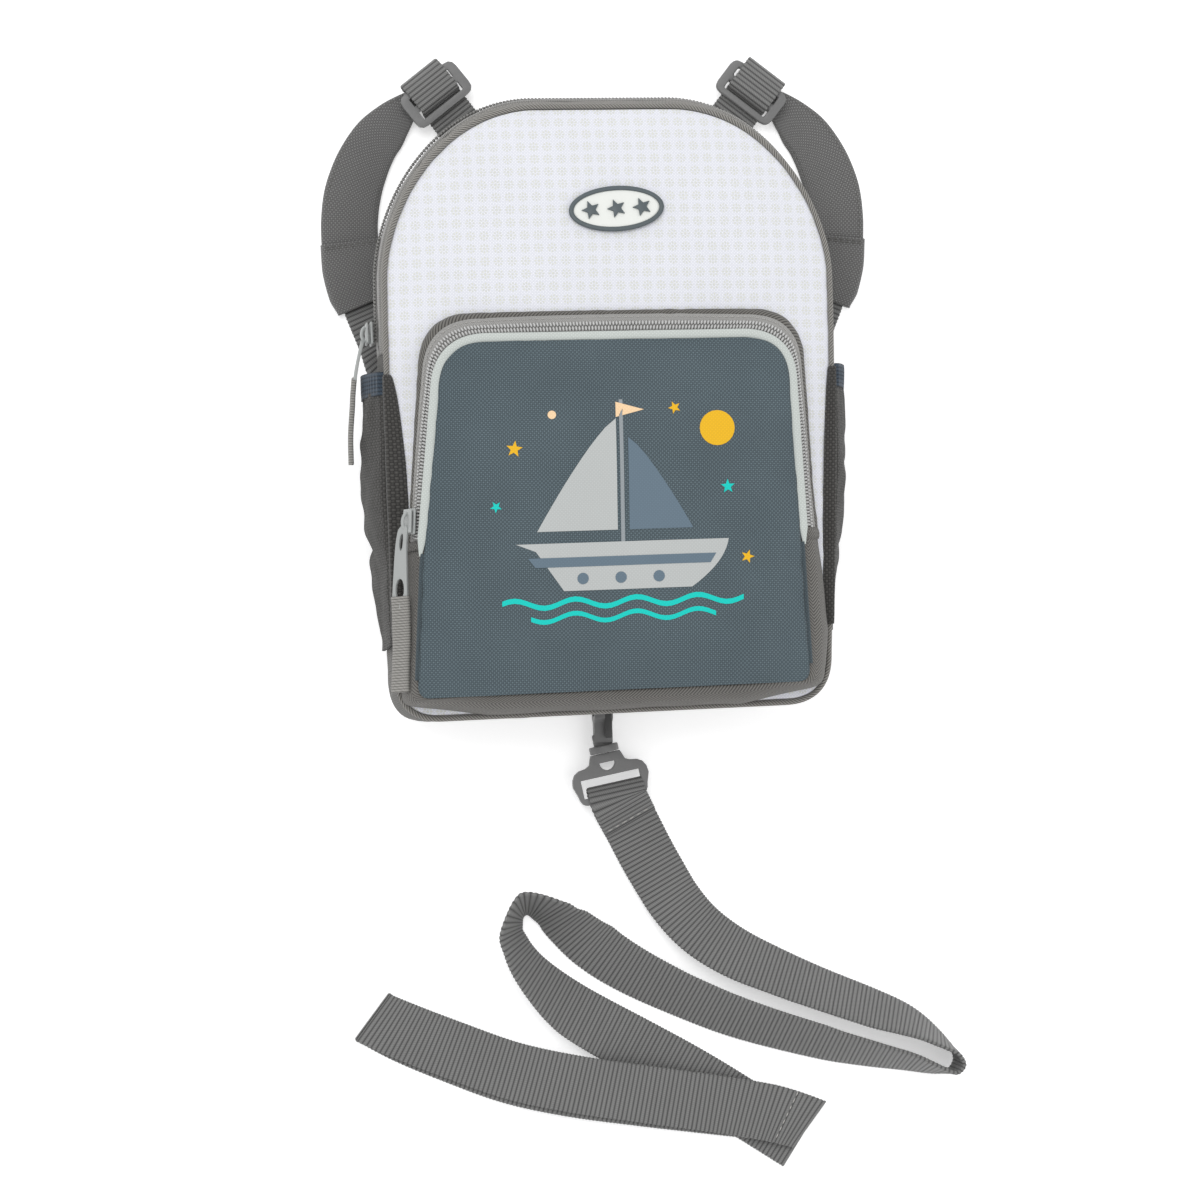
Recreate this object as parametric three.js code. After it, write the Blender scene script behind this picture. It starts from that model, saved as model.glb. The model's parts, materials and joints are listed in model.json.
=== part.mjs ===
import * as THREE from "three";

// Toddler harness backpack lying on its back: the floor is z = 0, the front of the bag faces +Z and its top is at +Y.

// overall sizes of the stuffed bag
const bodyWidth = 197;
const bodyHeight = 268;
const seamHeight = 57;
const panelRise = 10;
const baseHalf = 95;
const baseCorner = 18;
const shoulderStart = 55;

// cloth and seams
const gap = 0.3;
const cloth = 1.6;
const backThickness = 2.4;
const backInset = { side: 16, top: 16, base: 30 };
const backOverlap = 2.5;
const frontInset = { side: 4, top: 7.5, base: 2.5 };
const girthShare = 0.47;
const bindingRadius = 1.1;

// main zip round the arch
const stripWidth = 9;
const tapeWidth = 22;
const coilWidth = 4.4;
const coilHeight = 1.6;
const zipEndHeight = 24;

// front pocket
const pocketMiddle = -50.5;
const pocketHalfHeight = 74;
const pocketTopHalf = 74;
const pocketBaseHalf = 80;
const pocketTopCorner = 20;
const pocketBaseCorner = 5;
const pocketFlare = { side: 9, top: 13, base: 5 };
const pocketDepth = 17;
const pocketRise = 6;
const pipingRadius = 1.2;
const pocketTapeWidth = 10.5;
const pocketZipEnd = -60;

// side pockets
const sidePocket = { top: 4, low: -102, frontEdge: 6, backEdge: 9, bulgeLeft: 10, bulgeRight: 6 };
const elasticWidth = 10;
const elasticThickness = 2;

// badge
const badge = { x: 3, y: 81, length: 41, height: 20, thickness: 1.3, rim: 2, rimRise: 0.9, turn: 3 };
const star = { reach: 4.2, waist: 1.9, rise: 0.8, spacing: 11 };

// harness webbing
const webbing = 20;
const webbingThickness = 1.4;
const strapWidth = 25;
const strapThickness = 2.6;
const sleeveWidth = 29;
const sleeveThickness = 4.2;
const slider = { x: 70, y: 139.5, lift: 8, turn: 38, length: 30, bar: 3, window: 4, thickness: 2.6, corner: 4 };

// hook and leash
const tab = { length: 8, thickness: 1.1, width: 13 };
const ring = { width: 24, length: 15, wire: 2.4 };
const hook = { width: 8, height: 13, wall: 3.2, length: 25, collar: 13, collarLength: 3.2, bodyLength: 8 };
const frame = { length: 34, depth: 21, thickness: 4.5, corner: 7, slotLength: 26.5, bar: 3, turn: 11 };
const leashWidth = 25;
const leashThickness = 1.6;
const stitchDistance = 12;

// the stuffed bag sits a little askew: its base is shifted and its right base corner is higher up
const lean = { shift: -3.5, rise: 2.2 };

const halfWidth = bodyWidth / 2;
const halfHeight = bodyHeight / 2;
const bag = new THREE.Group();

const point = (x, y, z) => new THREE.Vector3(x, y, z);
const range = (count) => Array.from({ length: count }, (_, i) => i);
const steps = (from, to, count) => range(count + 1).map((i) => from + ((to - from) * i) / count);
const mix = (a, b, share) => a + (b - a) * share;

// value of one column of a table at a place, on a smooth curve through its rows
function tableValue(rows, place, column, at) {
  const last = rows.length - 1;
  if (at <= rows[0][place]) return rows[0][column];
  if (at >= rows[last][place]) return rows[last][column];
  const i = rows.findIndex((row) => row[place] > at) - 1;
  const slope = (k) => {
    const a = rows[Math.max(k - 1, 0)];
    const b = rows[Math.min(k + 1, last)];
    return (b[column] - a[column]) / (b[place] - a[place]);
  };
  const span = rows[i + 1][place] - rows[i][place];
  const s = (at - rows[i][place]) / span;
  const rise = rows[i + 1][column] - rows[i][column];
  const start = slope(i) * span;
  const end = slope(i + 1) * span;
  return rows[i][column] + s * (start + s * (3 * rise - 2 * start - end + s * (start + end - 2 * rise)));
}

// indexed mesh whose faces are turned outwards
function solid(points, faces) {
  let volume = 0;
  const product = new THREE.Vector3();
  for (const [a, b, c] of faces) volume += points[a].dot(product.crossVectors(points[b], points[c]));
  const turned = volume < 0 ? faces.map(([a, b, c]) => [a, c, b]) : faces;
  const geometry = new THREE.BufferGeometry();
  geometry.setAttribute("position", new THREE.Float32BufferAttribute(points.flatMap((p) => p.toArray()), 3));
  geometry.setIndex(turned.flat());
  return geometry;
}

// two triangles for each cell between two rows of point numbers
function band(rowA, rowB, wrap, faces) {
  const cells = wrap ? rowA.length : rowA.length - 1;
  for (const j of range(cells)) {
    const k = (j + 1) % rowA.length;
    faces.push([rowA[j], rowA[k], rowB[k]], [rowA[j], rowB[k], rowB[j]]);
  }
}

// solid through a row of sections, each a convex loop of points
function loft(sections, closed = false) {
  const points = sections.flat();
  const size = sections[0].length;
  const rows = sections.map((_, i) => range(size).map((j) => i * size + j));
  const faces = [];
  for (const i of range(closed ? rows.length : rows.length - 1)) band(rows[i], rows[(i + 1) % rows.length], true, faces);
  if (!closed) {
    for (const j of range(size - 2)) {
      faces.push([rows[0][0], rows[0][j + 2], rows[0][j + 1]]);
      const end = rows[rows.length - 1];
      faces.push([end[0], end[j + 1], end[j + 2]]);
    }
  }
  return solid(points, faces);
}

// normals of a grid of points, turned to the side of the given direction
function gridNormals(grid, outward) {
  const rows = grid.length;
  const columns = grid[0].length;
  return grid.map((row, i) =>
    row.map((p, j) => {
      const before = grid[Math.max(i - 1, 0)][j];
      const after = grid[Math.min(i + 1, rows - 1)][j];
      const down = row[Math.min(j + 1, columns - 1)].clone().sub(row[Math.max(j - 1, 0)]);
      const normal = after.clone().sub(before).cross(down).normalize();
      return normal.dot(outward(p)) < 0 ? normal.negate() : normal;
    }),
  );
}

// cloth wall of even thickness behind a grid of outer points
function wall(grid, thickness, outward) {
  const normals = gridNormals(grid, outward);
  const inner = grid.map((row, i) => row.map((p, j) => p.clone().addScaledVector(normals[i][j], -thickness)));
  return layers(grid, inner);
}

// closed solid between an outer and an inner grid
function layers(outer, inner) {
  const columns = outer[0].length;
  const count = outer.length * columns;
  const points = [...outer.flat(), ...inner.flat()];
  const line = (i, layer) => range(columns).map((j) => layer * count + i * columns + j);
  const loop = (i) => [...line(i, 0), ...line(i, 1).reverse()];
  const faces = [];
  for (const i of range(outer.length - 1)) band(loop(i), loop(i + 1), true, faces);
  const last = outer.length - 1;
  band(line(0, 1), line(0, 0), false, faces);
  band(line(last, 0), line(last, 1), false, faces);
  return solid(points, faces);
}

// plate inside an outline, with its top and bottom given as heights
function plate(outline, centre, shares, top, bottom) {
  const points = [];
  const faces = [];
  const half = [top, bottom].map((height) => {
    const middle = points.push(point(centre.x, centre.y, height(centre.x, centre.y))) - 1;
    const rings = shares.map((share) =>
      outline.map((p) => {
        const x = mix(centre.x, p.x, share);
        const y = mix(centre.y, p.y, share);
        return points.push(point(x, y, height(x, y))) - 1;
      }),
    );
    return { middle, rings };
  });
  half.forEach(({ middle, rings }, layer) => {
    const layerFaces = [];
    rings[0].forEach((a, j) => layerFaces.push([middle, a, rings[0][(j + 1) % outline.length]]));
    for (const k of range(rings.length - 1)) band(rings[k + 1], rings[k], true, layerFaces);
    faces.push(...(layer ? layerFaces.map(([a, b, c]) => [a, c, b]) : layerFaces));
  });
  const edge = shares.length - 1;
  band(half[1].rings[edge], half[0].rings[edge], true, faces);
  return solid(points, faces);
}

// loop of section points in the plane of two directions
const sectionAt = (origin, across, up, loop) =>
  loop.map(([a, b]) => origin.clone().addScaledVector(across, a).addScaledVector(up, b));
const flatLoop = (width, thickness) => [
  [-width / 2, -thickness / 2],
  [width / 2, -thickness / 2],
  [width / 2, thickness / 2],
  [-width / 2, thickness / 2],
];
const roundLoop = (width, thickness, sides) =>
  range(sides).map((k) => {
    const angle = (2 * Math.PI * (k + 0.5)) / sides;
    return [(Math.cos(angle) * width) / 2, (Math.sin(angle) * thickness) / 2];
  });

// round bead that lies against the outside of a seam
function bead(seam, turn, radius) {
  const along = seam(turn + 0.003).sub(seam(turn - 0.003)).setZ(0).normalize();
  const across = point(along.y, -along.x, 0);
  const place = seam(turn).addScaledVector(across, 2.8 * gap + radius);
  return sectionAt(place, across, point(0, 0, 1), roundLoop(2 * radius, 2 * radius, 5));
}

// the whole bag sits askew by the same small shift
function settle(p) {
  const share = THREE.MathUtils.clamp((halfHeight - p.y) / bodyHeight, 0, 1);
  p.x += lean.shift * share;
  p.y += lean.rise * (p.x / halfWidth) * share * share;
  return p;
}
function settled(geometry) {
  const place = geometry.attributes.position;
  for (const i of range(place.count)) {
    const p = settle(new THREE.Vector3().fromBufferAttribute(place, i));
    place.setXYZ(i, p.x, p.y, p.z);
  }
  return geometry;
}

const finishes = {
  white: { color: 0xf1f1f4, roughness: 0.85, metalness: 0 },
  slate: { color: 0x4e6069, roughness: 0.85, metalness: 0 },
  grey: { color: 0x6b6966, roughness: 0.9, metalness: 0 },
  pale: { color: 0xc8ccc9, roughness: 0.7, metalness: 0 },
  navy: { color: 0x37465a, roughness: 0.85, metalness: 0 },
  coil: { color: 0x8b8d8c, roughness: 0.5, metalness: 0 },
  plastic: { color: 0x6e6e6e, roughness: 0.5, metalness: 0 },
  puller: { color: 0xa5a8a8, roughness: 0.4, metalness: 0.3 },
};
function add(name, geometry, finish, parent = bag) {
  const mesh = new THREE.Mesh(geometry, new THREE.MeshStandardMaterial(finishes[finish]));
  mesh.name = name;
  parent.add(mesh);
}

// widest outline of the bag, as half a path from the middle of the base to the middle of the arch
const halfPath = new THREE.Path();
halfPath.moveTo(0, -halfHeight);
halfPath.lineTo(baseHalf - baseCorner, -halfHeight);
halfPath.quadraticCurveTo(baseHalf, -halfHeight, baseHalf, baseCorner - halfHeight);
halfPath.bezierCurveTo(baseHalf * 1.01, -halfHeight * 0.5, halfWidth, 0, halfWidth, shoulderStart);
halfPath.bezierCurveTo(halfWidth, halfHeight * 0.66, halfWidth * 0.73, halfHeight, halfWidth * 0.3, halfHeight);
halfPath.lineTo(0, halfHeight);

// a turn runs from 0 at the middle of the base up the right side to 1, and down the left side to 2, which is 0 again
function mirrored(path, turn) {
  const signed = THREE.MathUtils.euclideanModulo(turn + 1, 2) - 1;
  const p = path.getPoint(Math.abs(signed));
  return { x: signed < 0 ? -p.x : p.x, y: p.y };
}
const outlineAt = (turn) => mirrored(halfPath, turn);
function shareAtHeight(y) {
  let low = (baseHalf - baseCorner) / halfPath.getLength();
  let high = 1;
  for (const _ of range(30)) {
    const middle = (low + high) / 2;
    if (halfPath.getPoint(middle).y < y) low = middle;
    else high = middle;
  }
  return low;
}
const inset = (p, amount, share) => ({
  x: p.x * (1 - (amount.side * share) / halfWidth),
  y: p.y * (1 - ((p.y > 0 ? amount.top : amount.base) * share) / halfHeight),
});
const pathGap = (3 * gap) / halfPath.getLength();

// height of the front seam: the bag is thinner towards its top
const seamRows = [
  { up: -1, high: 0.94 },
  { up: -0.4, high: 1 },
  { up: 0.2, high: 0.94 },
  { up: 0.6, high: 0.83 },
  { up: 0.85, high: 0.75 },
  { up: 1, high: 0.69 },
];
const seamAt = (y) => seamHeight * tableValue(seamRows, "up", "high", y / halfHeight);

// half width of the front panel at a height, from its own outline
const panelSide = steps(0, 1, 120).map((share) => inset(outlineAt(share), frontInset, 1));
function panelHalfWidth(y) {
  const i = panelSide.findIndex((p) => p.y > y);
  if (i < 1) return i < 0 ? 1 : panelSide[1].x;
  const a = panelSide[i - 1];
  const b = panelSide[i];
  return Math.max(mix(a.x, b.x, (y - a.y) / (b.y - a.y)), 1);
}

// soft dents of the front panel, in shares of the half width, the half height and the rise
const dents = [
  { across: 0.72, up: 0.78, deep: 0.22, wide: 0.1 },
  { across: -0.45, up: 0.52, deep: 0.1, wide: 0.2 },
  { across: 0.55, up: 0.42, deep: 0.1, wide: 0.2 },
];
function panelTop(x, y) {
  const side = Math.min(Math.abs(x) / panelHalfWidth(y), 1);
  const end = Math.min(Math.abs(y) / (halfHeight - (y > 0 ? frontInset.top : frontInset.base)), 1);
  const crown = (1 - side ** 4) * (1 - end ** 6);
  let dent = 0;
  for (const d of dents) {
    const far = Math.hypot(x / halfWidth - d.across, y / halfHeight - d.up) / d.wide;
    dent += d.deep * Math.exp(-far * far);
  }
  return seamAt(y) + cloth + panelRise * crown * (1 - dent);
}

// one section of the gusset, from the front seam down to the back seam
const frontSteps = 5;
const backSteps = 9;
function girthSection(turn) {
  const p = outlineAt(turn);
  const top = seamAt(p.y) - gap;
  const low = backThickness + gap;
  const widest = mix(low, top, girthShare);
  const points = [];
  for (const angle of steps(70, 0, frontSteps)) {
    const share = (1 - Math.cos(THREE.MathUtils.degToRad(angle))) / (1 - Math.cos(THREE.MathUtils.degToRad(70)));
    const rise = Math.sin(THREE.MathUtils.degToRad(angle)) / Math.sin(THREE.MathUtils.degToRad(70));
    const q = inset(p, frontInset, share);
    points.push(point(q.x, q.y, mix(widest, top, rise)));
  }
  for (const s of steps(0, 1, backSteps).slice(1)) {
    const q = inset(p, backInset, s);
    points.push(point(q.x, q.y, mix(widest, low, s * s + 1.24 * s * (1 - s))));
  }
  const hem = inset(p, { side: backOverlap, top: backOverlap, base: backOverlap }, 1);
  const edge = inset(p, backInset, 1);
  points.push(point(edge.x + hem.x - p.x, edge.y + hem.y - p.y, low));
  return points;
}
function lengthsOf(points) {
  const lengths = [0];
  points.slice(1).forEach((p, i) => lengths.push(lengths[i] + p.distanceTo(points[i])));
  return lengths;
}
function pointAlong(points, distance) {
  const lengths = lengthsOf(points);
  const i = THREE.MathUtils.clamp(lengths.findIndex((d) => d >= distance) - 1, 0, points.length - 2);
  const share = (distance - lengths[i]) / (lengths[i + 1] - lengths[i]);
  return points[i].clone().lerp(points[i + 1], share);
}
const girthLength = (turn) => lengthsOf(girthSection(turn)).pop();
const awayFromBag = (p) => point(p.x / halfWidth, p.y / halfHeight, (p.z - seamHeight / 2) / seamHeight).normalize();

// frame on a wall: place, outward normal, direction down its section and direction along its seam
function frameOn(section, outward, turn, distance, lift) {
  const here = pointAlong(section(turn), distance);
  const down = pointAlong(section(turn), distance + 0.5).sub(pointAlong(section(turn), distance - 0.5)).normalize();
  const ahead = pointAlong(section(turn + 0.004), distance);
  const next = ahead.sub(pointAlong(section(turn - 0.004), distance)).normalize();
  const normal = down.clone().cross(next).normalize();
  if (normal.dot(outward(here)) < 0) normal.negate();
  return { place: here.addScaledVector(normal, lift), normal, down, next };
}

// cloth between two turns of a wall and a list of distances down its section
function patchOn(section, outward, from, to, rows, distances) {
  const frames = steps(from, to, rows).map((turn) => {
    const length = lengthsOf(section(turn)).pop();
    return distances(length).map((d) => frameOn(section, outward, turn, d, 0));
  });
  const outer = frames.map((row) => row.map((at) => at.place));
  const inner = frames.map((row) => row.map((at) => at.place.clone().addScaledVector(at.normal, -cloth)));
  return settled(layers(outer, inner));
}
const gussetPatch = (...rest) => patchOn(girthSection, awayFromBag, ...rest);
const gussetFrame = (...rest) => frameOn(girthSection, awayFromBag, ...rest);

function bodyParts() {
  const sides = 30;
  const ringTurns = steps(-1, 1, 2 * sides).slice(0, -1);
  const panelOutline = ringTurns.map((turn) => inset(outlineAt(turn), frontInset, 1));
  const shares = [0.35, 0.62, 0.82, 0.94, 1];
  const front = plate(panelOutline, { x: 0, y: 0 }, shares, panelTop, (x, y) => panelTop(x, y) - cloth);
  add("main_front_panel", settled(front), "white");

  const backOutline = ringTurns.map((turn) => inset(outlineAt(turn), backInset, 1));
  add("back_panel", settled(plate(backOutline, { x: 0, y: 0 }, [1], () => backThickness, () => 0)), "grey");

  const seamPlace = (turn) => {
    const edge = inset(outlineAt(turn), frontInset, 1);
    return point(edge.x, edge.y, seamAt(edge.y) + cloth / 2);
  };
  add("front_binding", settled(loft(ringTurns.map((turn) => bead(seamPlace, turn, bindingRadius)), true)), "grey");

  const zipEnd = shareAtHeight(zipEndHeight);
  const archRows = 30;
  const tapeStart = stripWidth + gap;
  const tapeEnd = tapeStart + tapeWidth;
  const arch = [zipEnd, 2 - zipEnd, archRows];
  add("gusset_front_strip", gussetPatch(...arch, () => steps(0, stripWidth, 2)), "grey");
  add("main_zip_tape", gussetPatch(...arch, () => steps(tapeStart, tapeEnd, 3)), "grey");
  add("gusset_back_strip", gussetPatch(...arch, (length) => steps(tapeEnd + gap, length, 4)), "grey");
  const coil = steps(zipEnd + 0.01, 2 - zipEnd - 0.01, archRows).map((turn) => {
    const at = gussetFrame(turn, tapeStart + tapeWidth / 2, gap + coilHeight / 2);
    return sectionAt(at.place, at.down, at.normal, roundLoop(coilWidth, coilHeight, 6));
  });
  add("main_zip_coil", settled(loft(coil)), "coil");

  const baseTurn = shareAtHeight(baseCorner * 1.2 - halfHeight);
  const sideRange = [baseTurn + pathGap, zipEnd - pathGap, 8];
  const full = (length) => steps(0, length, 7);
  add("side_gusset_right", gussetPatch(...sideRange, full), "grey");
  add("side_gusset_left", gussetPatch(2 - sideRange[0], 2 - sideRange[1], 8, full), "grey");
  add("base_gusset", gussetPatch(-baseTurn, baseTurn, 20, full), "grey");
}

// slider and hanging puller on the left end of the main zip
function mainZipPull() {
  const turn = 2 - shareAtHeight(zipEndHeight + 8);
  const middle = stripWidth + gap + tapeWidth / 2;
  const foot = coilHeight + 2 * gap;
  const body = [-5, 5].map((along) => {
    const at = gussetFrame(turn, middle, foot + 1.3);
    at.place.addScaledVector(at.next, along);
    return sectionAt(at.place, at.down, at.normal, flatLoop(7, 2.6));
  });
  add("main_zip_slider", settled(loft(body)), "puller");

  // rows down the side: height on the bag, distance off the gusset, width and thickness
  const pullerRows = [
    { y: zipEndHeight + 4, off: 6.4, wide: 4.2, thick: 1.8 },
    { y: zipEndHeight - 4, off: 9.2, wide: 4.6, thick: 1.8 },
    { y: zipEndHeight - 12, off: 10.6, wide: 5.4, thick: 1.8 },
  ];
  const tapeRows = [
    { y: zipEndHeight - 12.6, off: 10.9, wide: 5, thick: 2.2 },
    { y: zipEndHeight - 24, off: 11.9, wide: 6.5, thick: 2.6 },
    { y: zipEndHeight - 36, off: 13, wide: 5, thick: 2.2 },
    { y: zipEndHeight - 48, off: 13.2, wide: 6, thick: 1.6 },
  ];
  const hanging = (rows) =>
    settled(
      loft(
        rows.map((row) => {
          const at = gussetFrame(2 - shareAtHeight(row.y), middle, 0);
          const place = point(at.place.x - row.off, row.y, at.place.z);
          return sectionAt(place, point(0, 0, 1), point(1, 0, 0), flatLoop(row.wide, row.thick));
        }),
      ),
    );
  add("main_zip_puller", hanging(pullerRows), "puller");
  add("main_zip_pull_tape", hanging(tapeRows), "grey");
}

// outline of the front pocket about its own middle
const pocketPath = new THREE.Path();
pocketPath.moveTo(0, -pocketHalfHeight);
pocketPath.lineTo(pocketBaseHalf - pocketBaseCorner, -pocketHalfHeight);
pocketPath.quadraticCurveTo(pocketBaseHalf, -pocketHalfHeight, pocketBaseHalf, pocketBaseCorner - pocketHalfHeight);
pocketPath.lineTo(pocketTopHalf, pocketHalfHeight - pocketTopCorner);
pocketPath.quadraticCurveTo(pocketTopHalf, pocketHalfHeight, pocketTopHalf - pocketTopCorner, pocketHalfHeight);
pocketPath.lineTo(0, pocketHalfHeight);
function pocketOutline(turn, flareShare) {
  const p = mirrored(pocketPath, turn);
  const x = p.x * (1 + (pocketFlare.side * flareShare) / pocketBaseHalf);
  const y = p.y * (1 + ((p.y > 0 ? pocketFlare.top : pocketFlare.base) * flareShare) / pocketHalfHeight);
  return { x, y: y + pocketMiddle };
}
function pocketShareAt(y) {
  let low = (pocketBaseHalf - pocketBaseCorner) / pocketPath.getLength();
  let high = 1;
  for (const _ of range(30)) {
    const middle = (low + high) / 2;
    if (pocketPath.getPoint(middle).y + pocketMiddle < y) low = middle;
    else high = middle;
  }
  return low;
}
const pocketSeamRows = [
  { up: -1, deep: 1.18 },
  { up: 0, deep: 1.06 },
  { up: 1, deep: 0.86 },
];
const pocketSeam = (y) => {
  const up = (y - pocketMiddle) / pocketHalfHeight;
  return seamHeight + pocketDepth * tableValue(pocketSeamRows, "up", "deep", up);
};
function pocketTop(x, y) {
  const up = (y - pocketMiddle) / pocketHalfHeight;
  const side = Math.min(Math.abs(x) / mix(pocketBaseHalf, pocketTopHalf, (up + 1) / 2), 1);
  const crown = (1 - side ** 4) * (1 - Math.min(Math.abs(up), 1) ** 4);
  return pocketSeam(y) + cloth + pocketRise * crown;
}

// one section of the pocket wall, from the front seam down to the front panel of the bag
function pocketSection(turn) {
  const front = pocketOutline(turn, 0);
  const bend = pocketOutline(turn, 0.8);
  const foot = pocketOutline(turn, 1);
  const top = pocketSeam(front.y) - gap;
  const low = panelTop(foot.x, foot.y) + gap + cloth * 0.45;
  return steps(0, 1, 8).map((s) => {
    const a = (1 - s) * (1 - s);
    const b = 2 * s * (1 - s);
    const c = s * s;
    const x = a * front.x + b * bend.x + c * foot.x;
    const y = a * front.y + b * bend.y + c * foot.y;
    return point(x, y, a * top + b * mix(low, top, 0.72) + c * low);
  });
}
const awayFromPocket = (p) =>
  point(p.x / pocketBaseHalf, (p.y - pocketMiddle) / pocketHalfHeight, (p.z - seamHeight) / seamHeight).normalize();
const pocketPatch = (...rest) => patchOn(pocketSection, awayFromPocket, ...rest);
const pocketFrame = (...rest) => frameOn(pocketSection, awayFromPocket, ...rest);
function frontPocket() {
  const ringTurns = steps(-1, 1, 60).slice(0, -1);
  const outline = ringTurns.map((turn) => pocketOutline(turn, 0));
  const shares = [0.42, 0.72, 0.92, 1];
  const panel = plate(outline, { x: 0, y: pocketMiddle }, shares, pocketTop, (x, y) => pocketTop(x, y) - cloth);
  add("pocket_front_panel", settled(panel), "slate");

  const pipeEnd = pocketShareAt(pocketMiddle - pocketHalfHeight + 1.5 * pocketBaseCorner);
  const pipePlace = (turn) => {
    const edge = pocketOutline(turn, 0);
    return point(edge.x, edge.y, pocketSeam(edge.y) + cloth / 2);
  };
  const piping = steps(pipeEnd, 2 - pipeEnd, 40).map((turn) => bead(pipePlace, turn, pipingRadius));
  add("pocket_piping", settled(loft(piping)), "pale");

  const zipEnd = pocketShareAt(pocketZipEnd);
  const pocketGap = (2 * gap) / pocketPath.getLength();
  const arch = [zipEnd, 2 - zipEnd, 36];
  const start = 2 * pipingRadius * 0.5;
  const end = start + pocketTapeWidth;
  add("pocket_zip_tape", pocketPatch(...arch, () => steps(start, end, 3)), "grey");
  add("pocket_zip_border", pocketPatch(...arch, (length) => steps(end + 2 * gap, length, 1)), "grey");
  const coil = steps(zipEnd + 0.006, 2 - zipEnd - 0.006, 40).map((turn) => {
    const at = pocketFrame(turn, start + pocketTapeWidth * 0.5, gap + coilHeight / 2);
    return sectionAt(at.place, at.down, at.normal, roundLoop(coilWidth + 1, coilHeight, 6));
  });
  add("pocket_zip_coil", settled(loft(coil)), "coil");
  add("pocket_gusset", pocketPatch(pocketGap - zipEnd, zipEnd - pocketGap, 26, (length) => steps(start, length, 4)), "grey");
}

// slider, puller and ribbon tab on the left end of the pocket zip
function pocketZipPull() {
  const middle = pipingRadius + pocketTapeWidth / 2;
  const turn = 2 - pocketShareAt(pocketZipEnd + 9);
  const foot = coilHeight + 2 * gap;
  const body = [-5.5, 5.5].map((along) => {
    const at = pocketFrame(turn, middle, foot + 1.4);
    at.place.addScaledVector(at.next, along);
    return sectionAt(at.place, at.down, at.normal, flatLoop(7.5, 2.8));
  });
  add("pocket_zip_slider", settled(loft(body)), "puller");

  // rows down the pocket's side: place along the bag, lift off the wall, width and thickness
  const hang = (rows) =>
    settled(
      loft(
        rows.map((row) => {
          const at = pocketFrame(2 - pocketShareAt(row.y), middle + row.slip, row.off);
          return sectionAt(at.place, at.down, at.normal, flatLoop(row.wide, row.thick));
        }),
      ),
    );
  const pullerRows = [
    { y: pocketZipEnd + 6, slip: 0, off: 6.2, wide: 4, thick: 2 },
    { y: pocketZipEnd - 2, slip: 1.5, off: 6.2, wide: 6.5, thick: 2 },
    { y: pocketZipEnd - 26, slip: 2.5, off: 4.2, wide: 7.5, thick: 2 },
  ];
  const tabRows = [
    { y: pocketZipEnd - 26.6, slip: 2.5, off: 3.9, wide: 7, thick: 2.4 },
    { y: pocketZipEnd - 36, slip: 3, off: 3.2, wide: 8.5, thick: 2.6 },
    { y: pocketMiddle - pocketHalfHeight + pocketBaseCorner, slip: 3, off: 3.2, wide: 8, thick: 2.4 },
  ];
  add("pocket_zip_puller", hang(pullerRows), "puller");
  add("pocket_pull_tab", hang(tabRows), "grey");
}

// open pockets on the two sides, with an elastic band at the mouth
const bulgeRows = [
  { up: 0, out: 0 },
  { up: 0.12, out: 0.35 },
  { up: 0.35, out: 0.9 },
  { up: 0.65, out: 1 },
  { up: 1, out: 0.7 },
];
function sidePocketGrid(left, heights, extra, outAt) {
  return heights.map((y) => {
    const turn = left ? 2 - shareAtHeight(y) : shareAtHeight(y);
    const length = girthLength(turn);
    return steps(0, 1, 6).map((s) => {
      const at = gussetFrame(turn, mix(sidePocket.frontEdge, length - sidePocket.backEdge, s), 0);
      const lift = 3 * gap + extra + outAt(y) * Math.sin(Math.PI * s) ** 0.8;
      return at.place.addScaledVector(at.normal, lift);
    });
  });
}
function sidePockets() {
  for (const [side, left] of [["left", true], ["right", false]]) {
    const bulge = left ? sidePocket.bulgeLeft : sidePocket.bulgeRight;
    const tall = sidePocket.top - sidePocket.low;
    const outAt = (y) => bulge * tableValue(bulgeRows, "up", "out", (y - sidePocket.low) / tall);
    const pocket = sidePocketGrid(left, steps(sidePocket.low, sidePocket.top, 10), cloth, outAt);
    add("side_pocket_" + side, settled(wall(pocket, cloth, awayFromBag)), "grey");
    const from = sidePocket.top + gap;
    const mouth = sidePocketGrid(left, steps(from, from + elasticWidth, 3), elasticThickness, () => outAt(sidePocket.top));
    add("pocket_elastic_" + side, settled(wall(mouth, elasticThickness, awayFromBag)), "navy");
  }
}

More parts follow.
